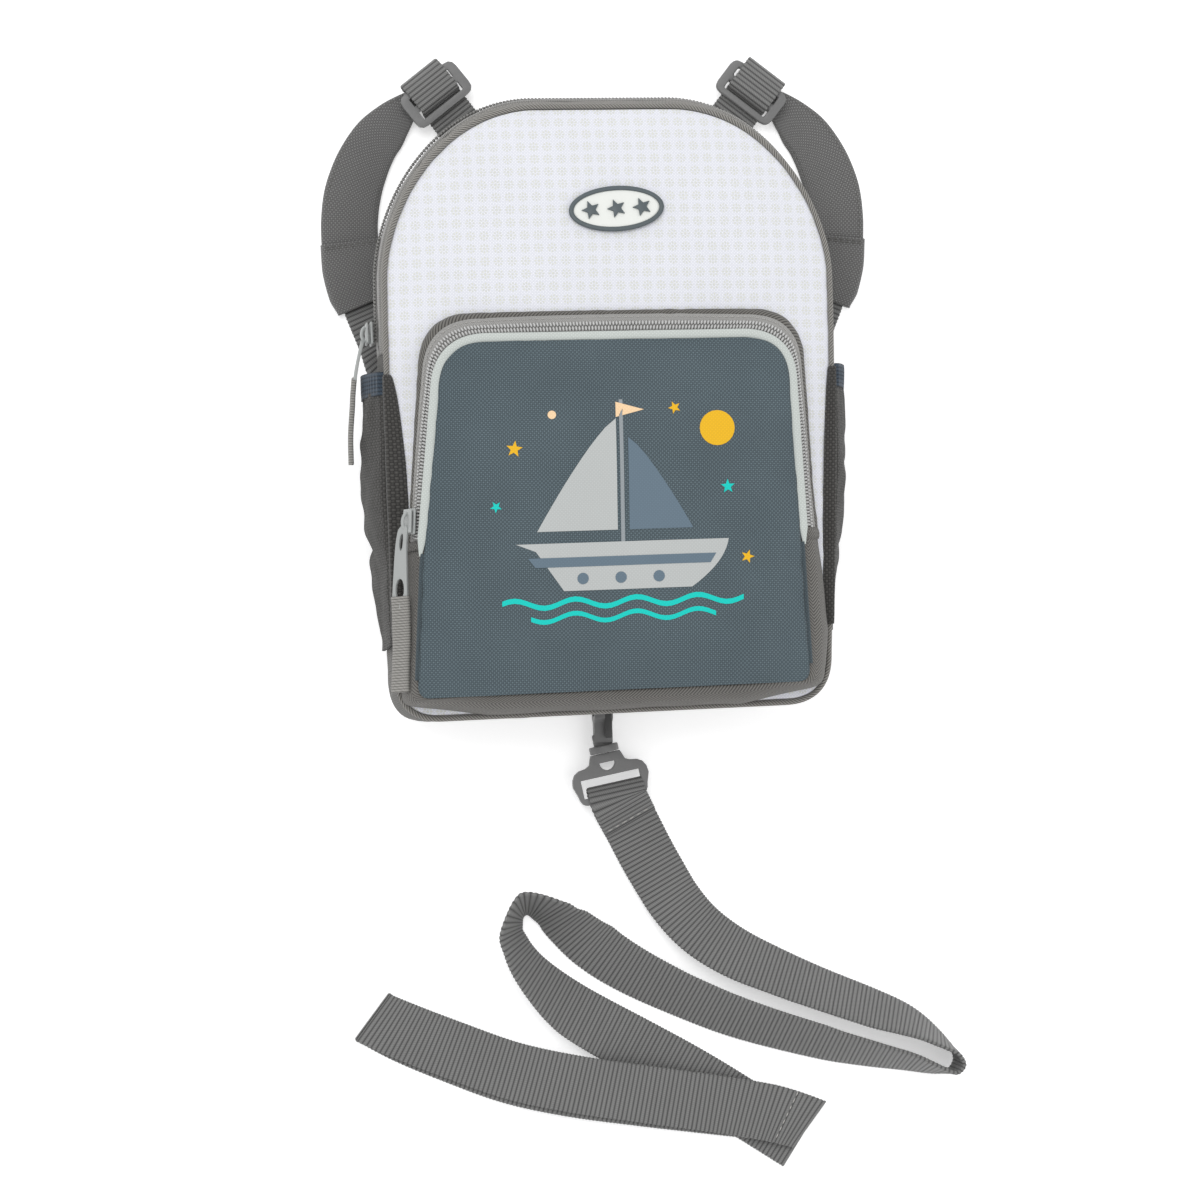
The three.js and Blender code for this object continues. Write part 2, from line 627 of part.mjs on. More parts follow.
// oval badge with a raised rim and three plain stars
function badgeParts() {
  const turn = THREE.MathUtils.degToRad(badge.turn);
  const spot = (x, y) => ({
    x: badge.x + x * Math.cos(turn) - y * Math.sin(turn),
    y: badge.y + x * Math.sin(turn) + y * Math.cos(turn),
  });
  const oval = (grow) =>
    range(32).map((k) => {
      const angle = (2 * Math.PI * k) / 32;
      return spot((badge.length / 2 + grow) * Math.cos(angle), (badge.height / 2 + grow) * Math.sin(angle));
    });
  const foot = (x, y) => panelTop(x, y) + gap;
  const face = (x, y) => foot(x, y) + badge.thickness;
  add("badge_base", settled(plate(oval(-badge.rim - gap), badge, [0.5, 1], face, foot)), "white");
  const inner = oval(-badge.rim);
  const rim = oval(0).map((p, k) => {
    const q = inner[k];
    const top = face(p.x, p.y) + badge.rimRise;
    return [point(q.x, q.y, foot(q.x, q.y)), point(p.x, p.y, foot(p.x, p.y)), point(p.x, p.y, top), point(q.x, q.y, top)];
  });
  add("badge_rim", settled(loft(rim, true)), "slate");
  for (const k of [-1, 0, 1]) {
    const centre = spot(k * star.spacing, 0);
    const outline = range(10).map((i) => {
      const angle = Math.PI * (0.5 + i / 5);
      const reach = i % 2 ? star.waist : star.reach;
      return { x: centre.x + reach * Math.cos(angle), y: centre.y + reach * Math.sin(angle) };
    });
    const low = (x, y) => face(x, y) + gap;
    const high = (x, y) => low(x, y) + star.rise;
    add("badge_star_" + (k + 2), settled(plate(outline, centre, [1], high, low)), "slate");
  }
}

// flat strap through a table of sections: place, height, turn of its width in degrees, roll, width and thickness
function strap(rows, flip) {
  return loft(
    rows.map((row) => {
      const turn = THREE.MathUtils.degToRad(row.turn);
      const roll = THREE.MathUtils.degToRad(row.roll ?? 0);
      const flat = point(flip * Math.cos(turn), Math.sin(turn), 0);
      const across = flat.clone().multiplyScalar(Math.cos(roll)).addScaledVector(point(0, 0, 1), Math.sin(roll));
      const up = flat.clone().multiplyScalar(-Math.sin(roll)).addScaledVector(point(0, 0, 1), Math.cos(roll));
      return sectionAt(point(flip * row.x, row.y, row.z), across, up, flatLoop(row.wide, row.thick));
    }),
  );
}

// harness of one side; flip is 1 on the right and -1 on the left
function harness(side, flip) {
  const turn = THREE.MathUtils.degToRad(180 - slider.turn);
  const along = point(flip * Math.cos(turn), Math.sin(turn), 0);
  const out = point(flip * Math.sin(turn), -Math.cos(turn), 0);
  const centre = point(flip * slider.x, slider.y, slider.lift);
  const frameDepth = 3 * slider.bar + 2 * slider.window;

  const window = (from) => {
    const hole = new THREE.Path();
    hole.moveTo(-webbing / 2 - 1, from);
    hole.lineTo(-webbing / 2 - 1, from + slider.window);
    hole.lineTo(webbing / 2 + 1, from + slider.window);
    hole.lineTo(webbing / 2 + 1, from);
    hole.closePath();
    return hole;
  };
  const plan = new THREE.Shape();
  const c = slider.corner;
  const [w, d] = [slider.length / 2, frameDepth / 2];
  plan.moveTo(c - w, -d);
  plan.lineTo(w - c, -d);
  plan.quadraticCurveTo(w, -d, w, c - d);
  plan.lineTo(w, d - c);
  plan.quadraticCurveTo(w, d, w - c, d);
  plan.lineTo(c - w, d);
  plan.quadraticCurveTo(-w, d, -w, d - c);
  plan.lineTo(-w, c - d);
  plan.quadraticCurveTo(-w, -d, c - w, -d);
  plan.holes.push(window(slider.bar / 2), window(-slider.bar / 2 - slider.window));
  const body = new THREE.ExtrudeGeometry(plan, { depth: slider.thickness, bevelEnabled: false, curveSegments: 3 });
  body.translate(0, 0, -slider.thickness / 2);
  const place = new THREE.Matrix4().makeBasis(along, out, point(0, 0, 1)).setPosition(centre);
  if (place.determinant() < 0) place.scale(point(-1, 1, 1));
  body.applyMatrix4(place);
  add("strap_slider_" + side, settled(body), "plastic");

  // webbing through the frame: distance outwards from its middle bar and height over the frame's middle
  const rail = slider.bar * 1.5 + slider.window;
  const half = slider.thickness / 2 + webbingThickness / 2 + 2 * gap;
  const middleOfWindow = (slider.bar + slider.window) / 2;
  const start = backStart(centre, out, flip);
  const sideView = [
    { away: -rail - 5, up: -half - 0.6 },
    { away: -rail, up: -half },
    { away: -middleOfWindow - 1, up: -half * 0.9 },
    { away: -middleOfWindow, up: 0 },
    { away: -slider.bar / 2, up: half },
    { away: slider.bar / 2, up: half },
    { away: middleOfWindow, up: 0 },
    { away: middleOfWindow + 1, up: -half * 0.9 },
    { away: rail, up: -half },
  ];
  const route = [start, ...sideView.map((row) => centre.clone().addScaledVector(out, row.away).setZ(centre.z + row.up))];
  const across = along.clone().multiplyScalar(flip);
  add("upper_webbing_" + side, settled(ribbon(route.map((p) => ({ p, across })), webbing, webbingThickness)), "grey");

  // rows in shares of the half width, the half height and the strap's own width and thickness
  const strapRows = [
    { across: 0.69, up: 1.045, turn: 142, wide: 0.84, lift: 1.5 },
    { across: 0.75, up: 1.035, turn: 122, wide: 0.82, lift: 1.5 },
    { across: 0.83, up: 0.99, turn: 96, wide: 0.8, lift: 0.6 },
    { across: 0.92, up: 0.94, turn: 62, wide: 0.84, lift: 0 },
    { across: 0.985, up: 0.89, turn: 44, wide: 0.9, lift: 0 },
    { across: 1.045, up: 0.81, turn: 27, wide: 0.96, lift: 0 },
    { across: 1.085, up: 0.72, turn: 14, wide: 1, lift: 0 },
    { across: 1.1, up: 0.63, turn: 1, wide: 1, lift: 0 },
    { across: 1.098, up: 0.555, turn: -6, wide: 1, lift: 0 },
  ];
  const floor = gap;
  const rowsOf = (rows, width, thickness) =>
    rows.map((row) => ({
      x: row.across * halfWidth,
      y: row.up * halfHeight,
      z: floor + thickness / 2 + (row.lift ?? 0),
      turn: row.turn,
      wide: row.wide * width,
      thick: thickness,
    }));
  add("shoulder_strap_" + side, settled(strap(rowsOf(strapRows, strapWidth, strapThickness), flip)), "grey");

  const sleeveRows = [
    { across: 1.098, up: 0.552, turn: -6, wide: 1 },
    { across: 1.085, up: 0.48, turn: -12, wide: 1 },
    { across: 1.06, up: 0.41, turn: -19, wide: 0.98 },
    { across: 1.035, up: 0.36, turn: -22, wide: 0.9 },
  ];
  add("strap_sleeve_" + side, settled(strap(rowsOf(sleeveRows, sleeveWidth, sleeveThickness), flip)), "grey");

  const panelEdge = halfWidth - backInset.side + gap;
  const lowerRows = [
    { x: 1.03 * halfWidth, y: 0.355 * halfHeight, turn: -22, wide: webbing },
    { x: 0.97 * halfWidth, y: 0.24 * halfHeight, turn: -30, wide: webbing },
    { x: 0.93 * halfWidth, y: 0.14 * halfHeight, turn: -50, wide: webbing * 1.05 },
    { x: panelEdge, y: 0.04 * halfHeight, turn: -88, wide: webbing * 1.2 },
  ].map((row) => ({ ...row, z: floor + webbingThickness / 2, thick: webbingThickness }));
  add("lower_webbing_" + side, settled(strap(lowerRows, flip)), "grey");
}

// place at the edge of the back panel where a shoulder webbing starts, in line with its slider
function backStart(centre, out, flip) {
  const edge = steps(0.5, 1, 200).map((share) => inset(outlineAt(share), backInset, 1));
  const aside = (p) => Math.abs((flip * p.x - centre.x) * out.y - (p.y - centre.y) * out.x);
  const p = edge.reduce((best, q) => (aside(q) < aside(best) ? q : best));
  return point(flip * p.x, p.y, gap + webbingThickness / 2).addScaledVector(out, 2 * gap);
}

// hidden tab and ring, hook and swivel frame on the base, in the leash's own group
const leash = new THREE.Group();
leash.position.set(lean.shift, 0, 0);
bag.add(leash);

function extrudeSide(profile, width) {
  const geometry = new THREE.ExtrudeGeometry(profile, { depth: width, bevelEnabled: false, curveSegments: 5 });
  geometry.translate(0, 0, -width / 2);
  geometry.applyMatrix4(new THREE.Matrix4().makeBasis(point(0, 1, 0), point(0, 0, 1), point(1, 0, 0)));
  return geometry;
}

function hookParts() {
  const panelEnd = -halfHeight + backInset.base;
  const tabHeight = ring.wire + 2 * gap + 2 * tab.thickness;
  const barY = panelEnd - tab.length;
  const barZ = gap + tabHeight / 2;
  const middle = gap + hook.height / 2;

  const tabShape = new THREE.Shape();
  tabShape.moveTo(panelEnd - gap, gap);
  tabShape.lineTo(panelEnd - gap, gap + 2 * tab.thickness);
  tabShape.lineTo(barY, gap + tabHeight);
  tabShape.absarc(barY, barZ, tabHeight / 2, Math.PI / 2, 1.5 * Math.PI, false);
  tabShape.closePath();
  const hole = new THREE.Path();
  hole.absarc(barY, barZ, ring.wire / 2 + gap, 0, 2 * Math.PI, true);
  tabShape.holes.push(hole);
  add("harness_tab", extrudeSide(tabShape, tab.width), "grey", leash);

  const ringRows = range(16).map((k) => {
    const angle = (2 * Math.PI * (k + 0.5)) / 16;
    const squareness = 0.45;
    const cos = Math.sign(Math.cos(angle)) * Math.abs(Math.cos(angle)) ** squareness;
    const sin = Math.sign(Math.sin(angle)) * Math.abs(Math.sin(angle)) ** squareness;
    const height = mix(barZ, middle, (1 - sin) / 2);
    return point((ring.width / 2) * cos, barY - ring.length / 2 + (ring.length / 2) * sin, height);
  });
  const ringLoops = ringRows.map((p, k) => {
    const before = ringRows[(k + 15) % 16];
    const after = ringRows[(k + 1) % 16];
    const along = after.clone().sub(before).normalize();
    const up = point(0, 0, 1);
    const across = along.clone().cross(up).normalize();
    return sectionAt(p, across, across.clone().cross(along).normalize(), roundLoop(ring.wire, ring.wire, 6));
  });
  add("harness_ring", loft(ringLoops, true), "plastic", leash);

  const ringEnd = barY - ring.length;
  const crown = ringEnd + ring.wire / 2 + gap + hook.wall;
  const collarY = crown - hook.length;
  const low = gap;
  const high = gap + hook.height;
  const eye = new THREE.Shape();
  eye.moveTo(collarY + gap, middle - hook.wall);
  eye.lineTo(collarY + gap, middle + hook.wall);
  eye.lineTo(collarY + 9, middle + hook.wall);
  eye.lineTo(crown - 14, high);
  eye.lineTo(crown - hook.height / 2, high);
  eye.absarc(crown - hook.height / 2, middle, hook.height / 2, Math.PI / 2, -Math.PI / 2, true);
  eye.lineTo(crown - 14, low);
  eye.lineTo(collarY + 9, middle - hook.wall);
  eye.closePath();
  const mouth = new THREE.Path();
  const r = hook.height / 2 - hook.wall;
  mouth.moveTo(crown - 13, middle - r);
  mouth.lineTo(crown - hook.height / 2, middle - r);
  mouth.absarc(crown - hook.height / 2, middle, r, -Math.PI / 2, Math.PI / 2, false);
  mouth.lineTo(crown - 13, middle + r);
  mouth.closePath();
  eye.holes.push(mouth);
  add("snap_hook", extrudeSide(eye, hook.width), "plastic", leash);

  return { end: collarY - (hook.width / 2) * Math.sin(THREE.MathUtils.degToRad(frame.turn)), middle };
}

// base frame of the hook with its swivel body and the slot for the leash, turned to face the leash
function swivelFrame(seat) {
  const group = new THREE.Group();
  group.position.set(0, seat.end, 0);
  group.rotation.z = THREE.MathUtils.degToRad(frame.turn);
  leash.add(group);
  const collar = new THREE.CylinderGeometry(hook.collar / 2, hook.collar / 2, hook.collarLength, 16);
  collar.translate(0, -hook.collarLength / 2, seat.middle);
  add("hook_collar", collar, "plastic", group);

  const body = new THREE.Group();
  body.position.set(0, -hook.collarLength - gap, 0);
  group.add(body);
  const w = frame.length / 2;
  const neck = hook.collar / 2;
  const top = 0;
  const lugs = -hook.bodyLength * 0.5;
  const low = -frame.depth;
  const plan = new THREE.Shape();
  plan.moveTo(-neck, top);
  plan.lineTo(neck, top);
  plan.lineTo(neck + 1.5, lugs);
  plan.lineTo(w - frame.corner, lugs - 1);
  plan.quadraticCurveTo(w, lugs - 1, w, lugs - 1 - frame.corner);
  plan.lineTo(w - 1.5, low + 4.5);
  plan.quadraticCurveTo(w - 2, low, w - 5, low);
  plan.lineTo(5 - w, low);
  plan.quadraticCurveTo(2 - w, low, 1.5 - w, low + 4.5);
  plan.lineTo(-w, lugs - 1 - frame.corner);
  plan.quadraticCurveTo(-w, lugs - 1, frame.corner - w, lugs - 1);
  plan.lineTo(-neck - 1.5, lugs);
  plan.closePath();
  const eye = new THREE.Path();
  eye.absarc(0, -hook.bodyLength * 0.5, neck * 0.55, -Math.PI, 0, false);
  eye.closePath();
  const slot = new THREE.Path();
  const slotTop = -hook.bodyLength - 1.8;
  const slotLow = low + frame.bar;
  slot.moveTo(-frame.slotLength / 2, slotTop);
  slot.lineTo(-frame.slotLength / 2, slotLow);
  slot.lineTo(frame.slotLength / 2, slotLow);
  slot.lineTo(frame.slotLength / 2, slotTop);
  slot.closePath();
  plan.holes.push(eye, slot);
  const solidFrame = new THREE.ExtrudeGeometry(plan, { depth: frame.thickness, bevelEnabled: false, curveSegments: 4 });
  solidFrame.translate(0, 0, seat.middle - frame.thickness / 2);
  add("hook_swivel_frame", solidFrame, "plastic", body);

  // sewn end of the leash round the frame's bar
  const barY = low + frame.bar / 2;
  const inner = Math.hypot(frame.bar, frame.thickness) / 2 + gap;
  const outer = inner + leashThickness;
  const fold = new THREE.Shape();
  const foot = leashThickness * 2 + 2 * gap;
  fold.moveTo(barY, seat.middle + outer);
  fold.lineTo(barY - stitchDistance, gap + foot);
  fold.lineTo(barY - stitchDistance, gap);
  fold.lineTo(barY, seat.middle - outer);
  fold.absarc(barY, seat.middle, outer, -Math.PI / 2, Math.PI / 2, false);
  const hollow = new THREE.Path();
  hollow.absarc(barY, seat.middle, inner, 0, 2 * Math.PI, true);
  fold.holes.push(hollow);
  add("leash_hook_fold", extrudeSide(fold, leashWidth), "grey", body);
  return { place: body, y: barY - stitchDistance - gap };
}

// band of webbing through places that each have their own direction across
function ribbon(rows, width, thickness) {
  return loft(
    rows.map(({ p, across, wide = 1 }, i) => {
      const along = rows[Math.min(i + 1, rows.length - 1)].p.clone().sub(rows[Math.max(i - 1, 0)].p);
      const up = across.clone().cross(along).normalize();
      return sectionAt(p, across, up, flatLoop(width * wide, thickness));
    }),
  );
}

// route of the leash on the floor: place of the edge that rests on it, and how far the webbing leans up from it
const leashRoute = [
  { x: 27, y: -196, tilt: 4 },
  { x: 34, y: -208, tilt: 10 },
  { x: 44, y: -219, tilt: 20 },
  { x: 70, y: -238, tilt: 36 },
  { x: 92, y: -249, tilt: 44 },
  { x: 117, y: -260, tilt: 50 },
  { x: 132, y: -268, tilt: 60 },
  { x: 143, y: -278, tilt: 74 },
  { x: 150, y: -288, tilt: 88 },
  { x: 149, y: -295, tilt: 90 },
  { x: 142, y: -297, tilt: 82 },
  { x: 127, y: -295, tilt: 70 },
  { x: 106, y: -292, tilt: 60 },
  { x: 86, y: -288, tilt: 52 },
  { x: 51, y: -278, tilt: 44 },
  { x: 24, y: -267, tilt: 40 },
  { x: 1, y: -256, tilt: 32 },
  { x: -16, y: -245, tilt: 26 },
  { x: -28, y: -233, tilt: 40 },
  { x: -35.5, y: -223, tilt: 60 },
  { x: -39, y: -221.5, tilt: 64 },
  { x: -41, y: -225, tilt: 64 },
  { x: -38, y: -233, tilt: 58 },
  { x: -30, y: -242, tilt: 46 },
  { x: -13, y: -254, tilt: 20 },
  { x: 15, y: -270, tilt: 0 },
  { x: 34, y: -281, tilt: 0 },
  { x: 50, y: -291, tilt: 0 },
  { x: 68, y: -303, tilt: 0 },
  { x: 86, y: -315, tilt: 0 },
];

// flattened hand loop on the floor: place of its middle line, turn of its width and height of the lower layer
const handRoute = [
  { x: 66, y: -311.5, turn: 70, z: 2.4 },
  { x: 41, y: -306.5, turn: 79, z: 2.4 },
  { x: 10, y: -301, turn: 78, z: 4.4 },
  { x: -20, y: -295.5, turn: 75, z: 5.6 },
  { x: -47, y: -289, turn: 72, z: 1.6 },
  { x: -73, y: -279, turn: 68, z: 0 },
  { x: -92, y: -271, turn: 60, z: 0 },
  { x: -106, y: -264.5, turn: 52, z: 0 },
];
const handSpacing = 2.4;
const handTab = { x: 84, y: -317.5, turn: 52 };
const onFloor = (row) => ({ ...row, x: row.x - lean.shift });

function leashParts() {
  const seat = hookParts();
  const fold = swivelFrame(seat);
  leash.updateMatrixWorld();
  const matrix = leash.matrixWorld.clone().invert().multiply(fold.place.matrixWorld);
  const half = leashWidth / 2;
  const low = gap + leashThickness / 2;
  const heading = point(0, -1, 0).transformDirection(matrix);
  const begin = point(half, fold.y, 0).applyMatrix4(matrix);
  const rows = [begin, begin.clone().addScaledVector(heading, 4)].map((p) => ({ x: p.x, y: p.y, tilt: 0 })).concat(leashRoute.map(onFloor));
  const foot = new THREE.CatmullRomCurve3(rows.map((row) => point(row.x, row.y, 0)), false, "centripetal");
  const sections = steps(0, rows.length - 1, 2 * (rows.length - 1)).map((at) => {
    const share = at / (rows.length - 1);
    const p = foot.getPoint(share);
    const along = foot.getTangent(share);
    const row = Math.min(Math.floor(at), rows.length - 2);
    const tilt = THREE.MathUtils.degToRad(mix(rows[row].tilt, rows[row + 1].tilt, at - row));
    const across = point(along.y, -along.x, 0).multiplyScalar(Math.cos(tilt)).setZ(Math.sin(tilt));
    p.z = gap + (leashThickness / 2) * Math.cos(tilt);
    return { p: p.addScaledVector(across, half), across };
  });
  add("leash_webbing", ribbon(sections, leashWidth, leashThickness), "grey", leash);

  const layer = (lift) =>
    handRoute.map(onFloor).map((row) => {
      const turn = THREE.MathUtils.degToRad(row.turn);
      return { p: point(row.x, row.y, low + row.z + lift), across: point(Math.cos(turn), Math.sin(turn), 0) };
    });
  const lower = layer(0);
  const end = lower[lower.length - 1];
  const out = end.across.clone().cross(point(0, 0, -1));
  const bend = [-60, 0, 60].map((angle) => {
    const turn = THREE.MathUtils.degToRad(angle);
    const reach = handSpacing / 2;
    const p = end.p.clone().addScaledVector(out, reach * Math.cos(turn)).setZ(end.p.z + reach * (1 + Math.sin(turn)));
    return { p, across: end.across };
  });
  const tabTurn = THREE.MathUtils.degToRad(handTab.turn);
  const last = {
    p: point(handTab.x - lean.shift, handTab.y, low + handRoute[0].z + gap),
    across: point(Math.cos(tabTurn), Math.sin(tabTurn), 0),
  };
  const upper = layer(handSpacing).reverse();
  add("hand_loop", ribbon([...lower, ...bend, ...upper, last], leashWidth, leashThickness), "grey", leash);
}

bodyParts();
mainZipPull();
frontPocket();
pocketZipPull();
sidePockets();
badgeParts();
harness("left", -1);
harness("right", 1);
leashParts();

export default bag;
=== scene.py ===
"""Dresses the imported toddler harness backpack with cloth, webbing, zips and moulded plastic.

All sizes are in millimetres, as the frame's source has them, and become metres where a mesh is made.
"""

from __future__ import annotations

import json
import logging
import math
from bisect import bisect_right
from dataclasses import dataclass, field
from enum import Enum
from functools import lru_cache
from typing import Any, Callable, Sequence

import bmesh
import bpy
from mathutils import Matrix, Vector, noise

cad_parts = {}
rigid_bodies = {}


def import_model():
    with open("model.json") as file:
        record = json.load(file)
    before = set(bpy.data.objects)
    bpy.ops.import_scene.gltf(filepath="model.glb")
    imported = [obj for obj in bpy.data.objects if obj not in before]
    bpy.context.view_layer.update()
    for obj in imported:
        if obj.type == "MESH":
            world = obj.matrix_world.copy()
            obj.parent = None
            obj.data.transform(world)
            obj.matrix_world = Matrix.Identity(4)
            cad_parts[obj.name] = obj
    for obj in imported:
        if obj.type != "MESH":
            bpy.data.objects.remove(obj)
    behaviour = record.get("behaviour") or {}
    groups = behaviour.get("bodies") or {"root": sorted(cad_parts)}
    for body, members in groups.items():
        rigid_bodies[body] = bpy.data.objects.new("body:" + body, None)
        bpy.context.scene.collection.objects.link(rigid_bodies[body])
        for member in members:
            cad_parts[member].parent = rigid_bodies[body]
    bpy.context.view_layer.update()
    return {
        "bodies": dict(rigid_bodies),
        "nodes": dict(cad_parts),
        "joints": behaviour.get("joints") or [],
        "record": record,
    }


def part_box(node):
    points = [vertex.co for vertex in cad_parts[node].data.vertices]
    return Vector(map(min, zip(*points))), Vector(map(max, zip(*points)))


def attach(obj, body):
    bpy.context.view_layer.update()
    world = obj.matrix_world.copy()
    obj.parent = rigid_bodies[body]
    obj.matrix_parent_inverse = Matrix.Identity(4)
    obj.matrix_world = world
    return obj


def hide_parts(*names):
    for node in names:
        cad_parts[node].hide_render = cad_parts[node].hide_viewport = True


LOG = logging.getLogger("backpack")
# One millimetre in metres, and the clearance between two pieces in millimetres.
MM = 0.001
GAP = 0.3
Place = Callable[[float, float], Vector]
Lift = Callable[[float, float], float]
Distances = Callable[[float, float], float]
Row = dict[str, float]
Outline = list[tuple[float, float]]
Cross = tuple[Vector, Vector, float]


def steps(low: float, high: float, count: int) -> list[float]:
    """Even steps from low to high, both ends included."""
    return [low + (high - low) * i / count for i in range(count + 1)]


def mix(a: float, b: float, share: float) -> float:
    """Value a share of the way from a to b."""
    return a + (b - a) * share


def clamp(value: float, low: float = 0.0, high: float = 1.0) -> float:
    """Value kept between two limits."""
    return max(low, min(high, value))


def table_value(rows: Sequence[Row], place: str, column: str, at: float) -> float:
    """Reads one column of a table on a smooth curve through its rows.

    Args:
        rows: The table, sorted by its place column.
        place: Name of the place column.
        column: Name of the column that is read.
        at: The place that is asked.

    Returns:
        The value there, and the end rows' values beyond them.
    """
    last = len(rows) - 1
    if at <= rows[0][place]:
        return rows[0][column]
    if at >= rows[last][place]:
        return rows[last][column]
    i = next(k for k, row in enumerate(rows) if row[place] > at) - 1

    def slope(k: int) -> float:
        a, b = rows[max(k - 1, 0)], rows[min(k + 1, last)]
        return (b[column] - a[column]) / (b[place] - a[place])

    span = rows[i + 1][place] - rows[i][place]
    s = (at - rows[i][place]) / span
    rise = rows[i + 1][column] - rows[i][column]
    start, end = slope(i) * span, slope(i + 1) * span
    return rows[i][column] + s * (start + s * (3 * rise - 2 * start - end + s * (start + end - 2 * rise)))


def ripple(x: float, y: float, size: float, seed: float = 0.0) -> float:
    """Smooth noise from -1 to 1 for soft cloth.

    Args:
        x: First place in millimetres.
        y: Second place in millimetres.
        size: Width of one wave in millimetres.
        seed: Shifts the pattern.

    Returns:
        The noise value.
    """
    return noise.noise(Vector((x / size, y / size, seed)))


def run_lengths(points: Sequence[Vector]) -> list[float]:
    """Length of a path up to each of its points."""
    lengths = [0.0]
    for a, b in zip(points, points[1:]):
        lengths.append(lengths[-1] + (b - a).length)
    return lengths


def along_section(points: Sequence[Vector], lengths: Sequence[float], distance: float) -> Vector:
    """Point on a path at a distance, carried on straight past its ends."""
    i = min(max(bisect_right(lengths, distance) - 1, 0), len(points) - 2)
    return points[i].lerp(points[i + 1], (distance - lengths[i]) / (lengths[i + 1] - lengths[i]))


def step_out(before: Sequence[float], after: Sequence[float], reach: float) -> Vector:
    """Level step to the right of the way from one point of an outline to the next."""
    way = Vector((after[0] - before[0], after[1] - before[1], 0)).normalized()
    return Vector((way.y, -way.x, 0)) * reach


def flat_direction(degrees: float) -> Vector:
    """Level unit vector at an angle from the x axis."""
    a = math.radians(degrees)
    return Vector((math.cos(a), math.sin(a), 0))


def bump_at(value: float, middle: float, width: float) -> float:
    """Soft bump of height 1 round a middle."""
    return math.exp(-(((value - middle) / width) ** 2))


def round_edges(bm: bmesh.types.BMesh, width: float, segments: int, edges: Sequence[Any] | None = None) -> None:
    """Rounds edges of a mesh.

    Args:
        bm: The mesh.
        width: Width of the rounding in the mesh's own unit.
        segments: Segments of the rounding.
        edges: The edges, or None for all.
    """
    bmesh.ops.bevel(
        bm, geom=bm.edges[:] if edges is None else edges, offset=width, offset_type="OFFSET", segments=segments,
        profile=0.5, affect="EDGES", clamp_overlap=True, material=-1,
    )


class ArcPath:
    """Plane path of lines and curves that is read by its length."""

    def __init__(self, x: float, y: float) -> None:
        """Starts the path at a point."""
        self.points: list[tuple[float, float]] = [(x, y)]
        self.lengths: list[float] = [0.0]

    def _add(self, x: float, y: float) -> None:
        """Adds one point."""
        a, b = self.points[-1]
        self.lengths.append(self.lengths[-1] + math.hypot(x - a, y - b))
        self.points.append((x, y))

    def line(self, x: float, y: float) -> None:
        """Adds a straight line to a point."""
        self._add(x, y)

    def curve(self, *corners: tuple[float, float]) -> None:
        """Adds a Bezier curve through one or two corners to an end point."""
        control = [self.points[-1], *corners]
        for share in steps(0, 1, 160)[1:]:
            row = control
            while len(row) > 1:
                row = [(mix(a[0], b[0], share), mix(a[1], b[1], share)) for a, b in zip(row, row[1:])]
            self._add(*row[0])

    @property
    def length(self) -> float:
        """Whole length of the path."""
        return self.lengths[-1]

    def at(self, share: float) -> tuple[float, float]:
        """Point at a share of the length."""
        distance = clamp(share) * self.length
        i = min(max(bisect_right(self.lengths, distance) - 1, 0), len(self.points) - 2)
        span = self.lengths[i + 1] - self.lengths[i]
        s = 0.0 if span == 0 else (distance - self.lengths[i]) / span
        (a, b), (c, d) = self.points[i], self.points[i + 1]
        return mix(a, c, s), mix(b, d, s)

    def mirrored(self, turn: float) -> tuple[float, float]:
        """Point on the whole outline, whose left half mirrors this path."""
        signed = (turn + 1) % 2 - 1
        x, y = self.at(abs(signed))
        return (-x, y) if signed < 0 else (x, y)

    def share_at_height(self, y: float, low: float) -> float:
        """Share of the path, past a start share, at which it reaches a height."""
        high = 1.0
        for _ in range(30):
            middle = (low + high) / 2
            if self.at(middle)[1] < y:
                low = middle
            else:
                high = middle
        return low


